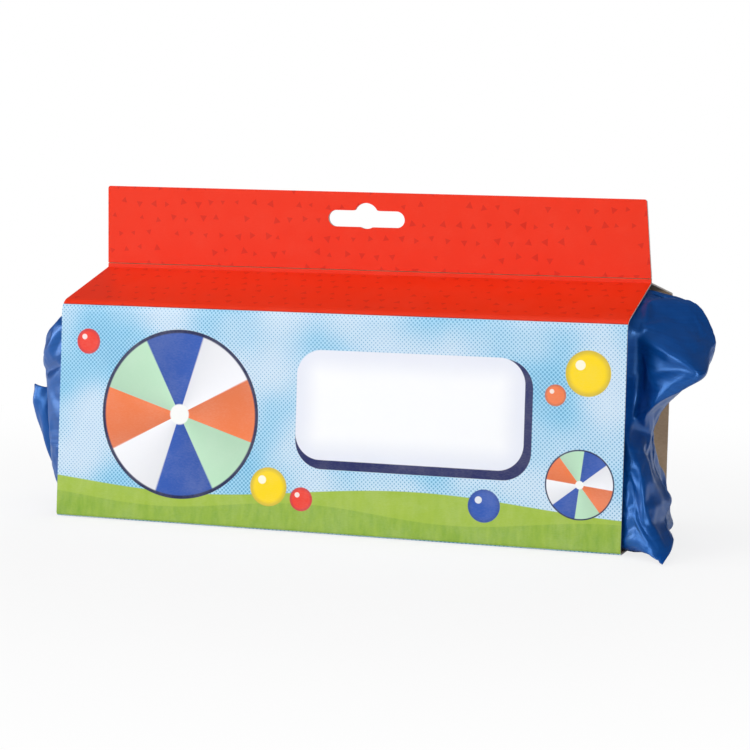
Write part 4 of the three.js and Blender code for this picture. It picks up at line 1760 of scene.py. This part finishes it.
    def settle(self, side: Side, points: np.ndarray) -> np.ndarray:
        """Press shallow creases into the part of a panel that lies in the sleeve.

        Args:
            side: The panel's side.
            points: Its rows of points.

        Returns:
            The creased rows, which never stand further out.
        """
        chance = np.random.default_rng(self.crease_seed + side.value)
        x = points[..., 0]
        up = np.broadcast_to(np.linspace(0.0, self.girth, points.shape[1]), x.shape)
        lowest = (-self.crease_span, self.crease_margin)
        highest = (self.crease_span, self.girth - self.crease_margin)
        sink = np.zeros(x.shape)
        for number in range(self.creases):
            middle = chance.uniform(lowest, highest)
            angle = chance.choice((-1.0, 1.0)) * chance.uniform(*self.crease_slant)
            reach, width, depth = chance.uniform(self.crease_least, self.crease_most)
            across = (up - middle[1]) * math.cos(angle) - (x - middle[0]) * math.sin(angle)
            along = (up - middle[1]) * math.sin(angle) + (x - middle[0]) * math.cos(angle)
            bend = along**2 / self.crease_bow * chance.uniform(-0.6, 0.6)
            wide = width if number % self.broad_every else self.broad_scale * width
            sink += depth * np.exp(-((along / reach) ** 2) - ((across - bend) / wide) ** 2)
        held = 1.0 - ease(*self.creased_to, np.abs(x))
        held *= ease(0.0, self.seam_columns, up) * ease(0.0, self.seam_columns, self.girth - up)
        pressed = np.minimum(sink, self.crease_limit) * held
        return points - self.normals(points, side) * pressed[..., None]

    def crumple(self, panels: dict[Side, np.ndarray]) -> dict[Side, np.ndarray]:
        """Let the bag's loose ends crumple as cloth, while the sleeve holds its middle.

        Args:
            panels: The rows of points of both panels.

        Returns:
            The crumpled rows.
        """
        front, back = panels[Side.FRONT], panels[Side.BACK]
        rows, columns = front.shape[:2]
        count = rows * columns
        number = np.arange(count).reshape(rows, columns)
        other = number + count
        for edge in ((0, slice(None)), (-1, slice(None)), (slice(None), 0), (slice(None), -1)):
            other[edge] = number[edge]
        faces = [tuple(number.flat[k] for k in f)[::-1] for f in grid_faces(rows, columns)]
        faces += [tuple(other.flat[k] for k in f) for f in grid_faces(rows, columns)]
        points = np.concatenate([front.reshape(-1, 3), back.reshape(-1, 3)])
        used = np.unique(np.concatenate([number.ravel(), other.ravel()]))
        renumber = np.full(2 * count, -1)
        renumber[used] = np.arange(len(used))
        rest = points[used]
        bag = mesh_object("crumpling_bag", rest * MM, [tuple(int(renumber[k]) for k in f) for f in faces])
        from_end = np.minimum(np.arange(rows), np.arange(rows)[::-1])
        near_seam = np.tile(np.repeat(ease(-1.0, 5.0, from_end), columns), 2)[used]
        free = ease(self.free_from, self.free_to, np.abs(rest[:, 0])) * near_seam
        moved = self.simulate(bag, free) / MM
        shift = moved - rest
        size = np.linalg.norm(shift, axis=1)
        shift *= np.minimum(1.0, self.cap / np.maximum(size, 1e-6))[:, None]
        log.info("cloth moved up to %.1f mm", size.max())
        final = rest + shift
        bpy.data.objects.remove(bag)
        return {
            Side.FRONT: final[renumber[number]],
            Side.BACK: final[renumber[other]],
        }

    def simulate(self, bag: Object, free: np.ndarray) -> np.ndarray:
        """Run the cloth simulation on the closed bag.

        Args:
            bag: The bag as one closed mesh.
            free: How loose each point is, from 0 to 1.

        Returns:
            The points at the last frame, in metres.
        """
        pinned = bag.vertex_groups.new(name="held")
        for index, share in enumerate(free.tolist()):
            pinned.add([index], 1.0 - share, "REPLACE")
        cloth = bag.modifiers.new("cloth", "CLOTH")
        for name, value in CLOTH_SETTINGS.items():
            setattr(cloth.settings, name, value)
        cloth.settings.vertex_group_mass = pinned.name
        cloth.settings.shrink_min = -self.growth
        cloth.settings.effector_weights.gravity = 0.0
        cloth.collision_settings.use_collision = False
        cloth.collision_settings.use_self_collision = False
        cloth.point_cache.frame_start = 1
        cloth.point_cache.frame_end = self.frames
        scene = bpy.context.scene
        for frame in range(1, self.frames + 1):
            scene.frame_set(frame)
        result = bag.evaluated_get(bpy.context.evaluated_depsgraph_get())
        moved = np.zeros(3 * len(result.data.vertices))
        result.data.vertices.foreach_get("co", moved)
        scene.frame_set(1)
        return moved.reshape(-1, 3)

    def cloth_panel(self, side: Side, points: np.ndarray) -> Object:
        """Make a panel from its rows of points.

        Args:
            side: The panel's side.
            points: Its rows of points, in millimetres.

        Returns:
            The piece.
        """
        rows, columns = points.shape[:2]
        node = f"bag_{side.name.lower()}_panel"
        faces = grid_faces(rows, columns)
        if side is Side.FRONT:
            faces = [f[::-1] for f in faces]
        panel = mesh_object(f"{node}_cloth", points.reshape(-1, 3) * MM, faces)
        steps = np.linalg.norm(np.diff(points, axis=0), axis=2).mean(axis=1)
        along = np.concatenate(([0.0], np.cumsum(steps)))
        up = np.linspace(0.0, self.girth, columns)
        places = np.stack(np.meshgrid(along, up, indexing="ij"), axis=2).reshape(-1, 2)
        add_map(panel, places * MM)
        panel.data.materials.append(self.finishes.bag)
        apply_modifier(panel, "SOLIDIFY", thickness=self.cloth * MM, offset=-1.0)
        refine(panel)
        dress(panel, Body.BUNDLE, node)
        return panel

    @staticmethod
    def channel(shares: np.ndarray, around: np.ndarray) -> np.ndarray:
        """Give points on the mouth's channel.

        Args:
            shares: The shares of the channel's length.
            around: The angles round it.

        Returns:
            Rings of points, in millimetres.
        """
        centre = smooth_line(MOUTH_LINE, shares)
        wide = np.interp(shares, *MOUTH_WIDTHS)
        deep = np.interp(shares, *MOUTH_DEPTHS)
        rings = []
        for k, share in enumerate(shares):
            ripple = 1 + 0.06 * np.sin(3 * around + 9 * share) + 0.05 * np.sin(5 * around - 14 * share)
            x = centre[k, 0] + wide[k] * ripple * np.cos(around)
            y = centre[k, 1] + deep[k] * ripple * np.sin(around)
            wave = 0.5 * np.cos(around) + 0.9 * share**3 * np.sin(2 * around + 0.6)
            rings.append(np.column_stack([x, y, centre[k, 2] + wave]))
        return np.array(rings)

    def mouth_stitches(self) -> Object:
        """Sew the channel down with a row of stitches on either face.

        Returns:
            The piece.
        """
        bpy.ops.object.select_all(action="DESELECT")
        bpy.ops.mesh.primitive_cylinder_add(
            vertices=8, radius=self.stitch_radius * MM, depth=self.stitch_length * MM
        )
        stitch = added("stitch")
        with editing(stitch):
            bpy.ops.mesh.select_all(action="SELECT")
            bpy.ops.mesh.bevel(offset=self.stitch_round * MM, segments=2)
        shares = np.linspace(*self.stitch_reach, self.stitches + 1)
        faces = np.radians((-self.stitch_angle, self.stitch_angle))
        copies = []
        for row in self.channel(shares, faces).transpose(1, 0, 2):
            for start, end in zip(row, row[1:]):
                copy = twin(stitch, stitch.name)
                aim = Vector(end - start).to_track_quat("Z", "Y").to_matrix().to_4x4()
                copy.data.transform(Matrix.Translation(Vector((start + end) / 2) * MM) @ aim)
                copies.append(copy)
        bpy.data.objects.remove(stitch)
        activate(copies[0])
        for copy in copies:
            copy.select_set(True)
        bpy.ops.object.join()
        sewn = bpy.context.object
        sewn.name = "bag_mouth_stitches"
        sewn.data.materials.append(self.finishes.thread)
        smooth(sewn)
        dress(sewn, Body.BUNDLE)
        return sewn

    def mouth_hem(self) -> Object:
        """Make the drawstring channel, a soft tube with an open end at the mouth.

        Returns:
            The piece.
        """
        shares = np.linspace(0.0, 1.0, self.hem_rings)
        around = np.linspace(0.0, 2 * math.pi, self.hem_around)
        points = self.channel(shares, around)
        hem = mesh_object("bag_mouth_hem_cloth", points.reshape(-1, 3) * MM, grid_faces(*points.shape[:2]))
        over = around / (2 * math.pi) * self.hem_girth
        places = np.meshgrid(shares * self.hem_length, over, indexing="ij")
        add_map(hem, np.stack(places, axis=2).reshape(-1, 2) * MM)
        hem.data.materials.append(self.finishes.bag)
        merge_doubles(hem, self.hem_merge * MM)
        apply_modifier(hem, "SOLIDIFY", thickness=2 * self.cloth * MM, offset=-1.0)
        refine(hem)
        dress(hem, Body.BUNDLE, "bag_mouth_hem")
        return hem


@dataclass
class Canopy:
    """The folded parachute: eight gores, the disc at its crown and the binding round its rim.

    Its lengths are in millimetres.
    """

    finishes: Finishes
    colours: Sequence[Slot] = (Slot.ORANGE, Slot.GREEN, Slot.WHITE, Slot.BLUE)
    gores: int = 8
    base: float = 4.3
    passes: int = 7
    pass_height: float = 9.814
    run: float = 54.17
    turn_points: int = 11
    half_width: float = 99.9
    layers: int = 10
    gap: float = 0.3
    crown_levels: tuple[float, float] = (2.5, 3.9)
    crown_leaves: int = 8
    crown_fan: float = 22.4
    crown_points: int = 12
    crown_hub: float = 12.0
    binding_base: float = 63.3
    binding_height: float = 9.6
    binding_front: float = 27.4
    binding_width: float = 8.0
    binding_half: float = 98.6
    binding_leaf: float = 0.03
    binding_layers: int = 48

    def build(self) -> list[Object]:
        """Fold the canopy.

        Returns:
            The canopy's pieces.
        """
        pieces = []
        for index in range(self.gores):
            turn, place = divmod(index, len(self.colours))
            colour = self.colours[place]
            pieces.append(self.gore(index, colour, f"gore_{colour.name.lower()}_{1 + turn}"))
        pieces.append(self.crown())
        pieces.append(self.binding())
        return pieces

    def fold_line(self, level: float) -> np.ndarray:
        """Follow one layer of cloth to and fro through the stack.

        Args:
            level: The layer's height in the first pass, in millimetres.

        Returns:
            The line's points in Y and Z, in millimetres.
        """
        line = []
        for index in range(self.passes):
            back = index % 2 == 1
            lift = self.pass_height - level if back else level
            end = -self.run / 2 if back else self.run / 2
            floor = self.base + index * self.pass_height
            line += [(-end, floor + lift), (end, floor + lift)]
            if index + 1 < self.passes:
                radius = self.pass_height - lift
                for turn in np.linspace(-math.pi / 2, math.pi / 2, self.turn_points)[1:-1]:
                    out = math.copysign(radius * math.cos(turn), end)
                    line.append((end + out, floor + self.pass_height + radius * math.sin(turn)))
        return np.array(line)

    @staticmethod
    def zigzag(half: float, levels: np.ndarray) -> list[tuple[float, float]]:
        """Run to and fro over a width, and climb a level at each end.

        Args:
            half: Half of the width.
            levels: The levels.

        Returns:
            The places along the width, with their levels.
        """
        places = []
        for index, level in enumerate(levels):
            way = -1.0 if index % 2 else 1.0
            places += [(way * half * share, level) for share in (-0.999, -0.5, 0.0, 0.5, 0.999)]
            if index + 1 < len(levels):
                places.append((way * half, (level + levels[index + 1]) / 2))
        return places

    def gore(self, index: int, colour: Slot, node: str) -> Object:
        """Fold one gore lengthwise to the bundle's width, and then to and fro.

        Args:
            index: The gore's number in the stack.
            colour: Its cloth.
            node: The solid that it stands for.

        Returns:
            The piece.
        """
        pitch = self.pass_height / self.gores
        low = index * pitch + self.gap / 2
        high = (index + 1) * pitch - self.gap / 2
        rows = []
        for x, level in self.zigzag(self.half_width, np.linspace(low, high, self.layers + 2)[1:-1]):
            line = self.fold_line(level)
            rows.append(np.column_stack([np.full(len(line), x), line]))
        gore = self.sheet(node, np.array(rows), self.finishes.canopy[colour], colour)
        return gore

    def crown(self) -> Object:
        """Pleat the crown's disc into a fan of eight leaves.

        Returns:
            The piece.
        """
        low, high = self.crown_levels
        leaves = np.linspace(low, high, self.crown_leaves)
        middle = (low + high) / 2
        reach = np.linspace(0.0, self.run, self.crown_points)
        spread = np.minimum(1.0, reach / self.crown_hub)
        rows = []
        for turn, level in self.zigzag(math.radians(self.crown_fan), leaves):
            x = reach * math.cos(turn) - self.run / 2
            rows.append(np.column_stack([x, reach * math.sin(turn), middle + (level - middle) * spread]))
        crown = self.sheet("crown_disc", np.array(rows), self.finishes.canopy[Slot.WHITE], Slot.WHITE)
        return crown

    def binding(self) -> Object:
        """Lay the rim's binding to and fro, folded in half along its middle.

        Returns:
            The piece.
        """
        front, back = self.binding_front, self.binding_front + self.binding_width
        middle, lift = (front + back) / 2, self.binding_leaf
        leaf = np.array(((back, -lift), (middle, -lift), (front, 0.0), (middle, lift), (back, lift)))
        levels = self.binding_base + np.linspace(0.0, self.binding_height, self.binding_layers)
        rows = []
        for x, level in self.zigzag(self.binding_half, levels):
            rows.append(np.column_stack([np.full(len(leaf), x), leaf[:, 0], level + leaf[:, 1]]))
        binding = self.sheet("rim_binding", np.array(rows), self.finishes.webbing, Slot.WEBBING)
        return binding

    @staticmethod
    def sheet(node: str, points: np.ndarray, material: Material, slot: Slot) -> Object:
        """Make a folded sheet from its rows of points.

        Args:
            node: The solid that it stands for.
            points: The rows, in millimetres.
            material: Its finish.
            slot: Not used.

        Returns:
            The piece.
        """
        piece = mesh_object(f"{node}_cloth", points.reshape(-1, 3) * MM, grid_faces(*points.shape[:2]))
        steps = [np.linalg.norm(np.diff(points, axis=k), axis=2).mean(axis=1 - k) for k in (0, 1)]
        along, over = (np.concatenate(([0.0], np.cumsum(step))) for step in steps)
        add_map(piece, np.stack(np.meshgrid(along, over, indexing="ij"), axis=2).reshape(-1, 2) * MM)
        piece.data.materials.append(material)
        dress(piece, Body.BUNDLE, node)
        return piece


@dataclass
class Handles:
    """The twelve webbing loops, laid side by side on the folded canopy."""

    finishes: Finishes
    count: int = 12
    pitch: float = 16 * MM
    length: float = 52 * MM
    height: float = 4.4 * MM
    width: float = 14 * MM
    tape: float = 1.2 * MM
    edge: float = 0.35 * MM
    turn_steps: int = 10
    nearby: float = 0.01 * MM
    middle: Vector = field(default_factory=lambda: Vector((0.0, 9.38, 75.5)) * MM)

    def build(self) -> list[Object]:
        """Model one loop, and lay out its copies.

        Returns:
            The handles.
        """
        first = self.loop()
        pieces = []
        for index in range(self.count):
            node = f"handle_{index + 1:02d}"
            handle = twin(first, f"{node}_webbing")
            along = (index - (self.count - 1) / 2) * self.pitch
            handle.data.transform(Matrix.Translation((along, 0.0, 0.0)))
            dress(handle, Body.BUNDLE, node)
            pieces.append(handle)
        bpy.data.objects.remove(first)
        return pieces

    def turn(self, y: float) -> None:
        """Spin the chosen edge through half a turn, at one end of the loop."""
        centre = (0.0, y, self.middle.z)
        bpy.ops.mesh.spin(steps=self.turn_steps, angle=math.pi, center=centre, axis=(1.0, 0.0, 0.0))

    def loop(self) -> Object:
        """Model a loop: its upper run, the turn, the run back and the last turn.

        Returns:
            The loop, at the middle of the row.
        """
        radius = (self.height - self.tape) / 2
        straight = self.length - self.height
        bpy.ops.mesh.primitive_grid_add(
            x_subdivisions=6, y_subdivisions=24, size=1.0, location=self.middle + Vector((0.0, 0.0, radius))
        )
        bpy.context.object.scale = (self.width, straight, 1.0)
        loop = added("handle")
        far = self.middle.y + straight / 2
        choose_points(loop, lambda co: co.y > far - self.nearby)
        with editing(loop):
            self.turn(far)
            bpy.ops.mesh.extrude_region_move(TRANSFORM_OT_translate={"value": (0.0, -straight, 0.0)})
            self.turn(far - straight)
        merge_doubles(loop, 2 * self.nearby)
        apply_modifier(loop, "SOLIDIFY", thickness=self.tape, offset=0.0, use_even_offset=True)
        sharp = math.radians(60)
        apply_modifier(loop, "BEVEL", width=self.edge, segments=2, limit_method="ANGLE", angle_limit=sharp)
        with editing(loop):
            bpy.ops.mesh.select_all(action="SELECT")
            bpy.ops.uv.cube_project(cube_size=1.0, correct_aspect=False)
        loop.data.materials.append(self.finishes.webbing)
        smooth(loop)
        return loop


def main() -> None:
    """Build the pack, piece by piece."""
    logging.basicConfig(level=logging.INFO, format="%(message)s", force=True)
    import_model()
    Studio().build()
    finishes = Finishes()
    pieces = [
        *Carton(finishes).build(),
        *StorageBag(finishes).build(),
        *Canopy(finishes).build(),
        *Handles(finishes).build(),
    ]
    for piece in pieces:
        log.info("made %s with %d faces", piece.name, len(piece.data.polygons))


if __name__ == "__main__":
    main()
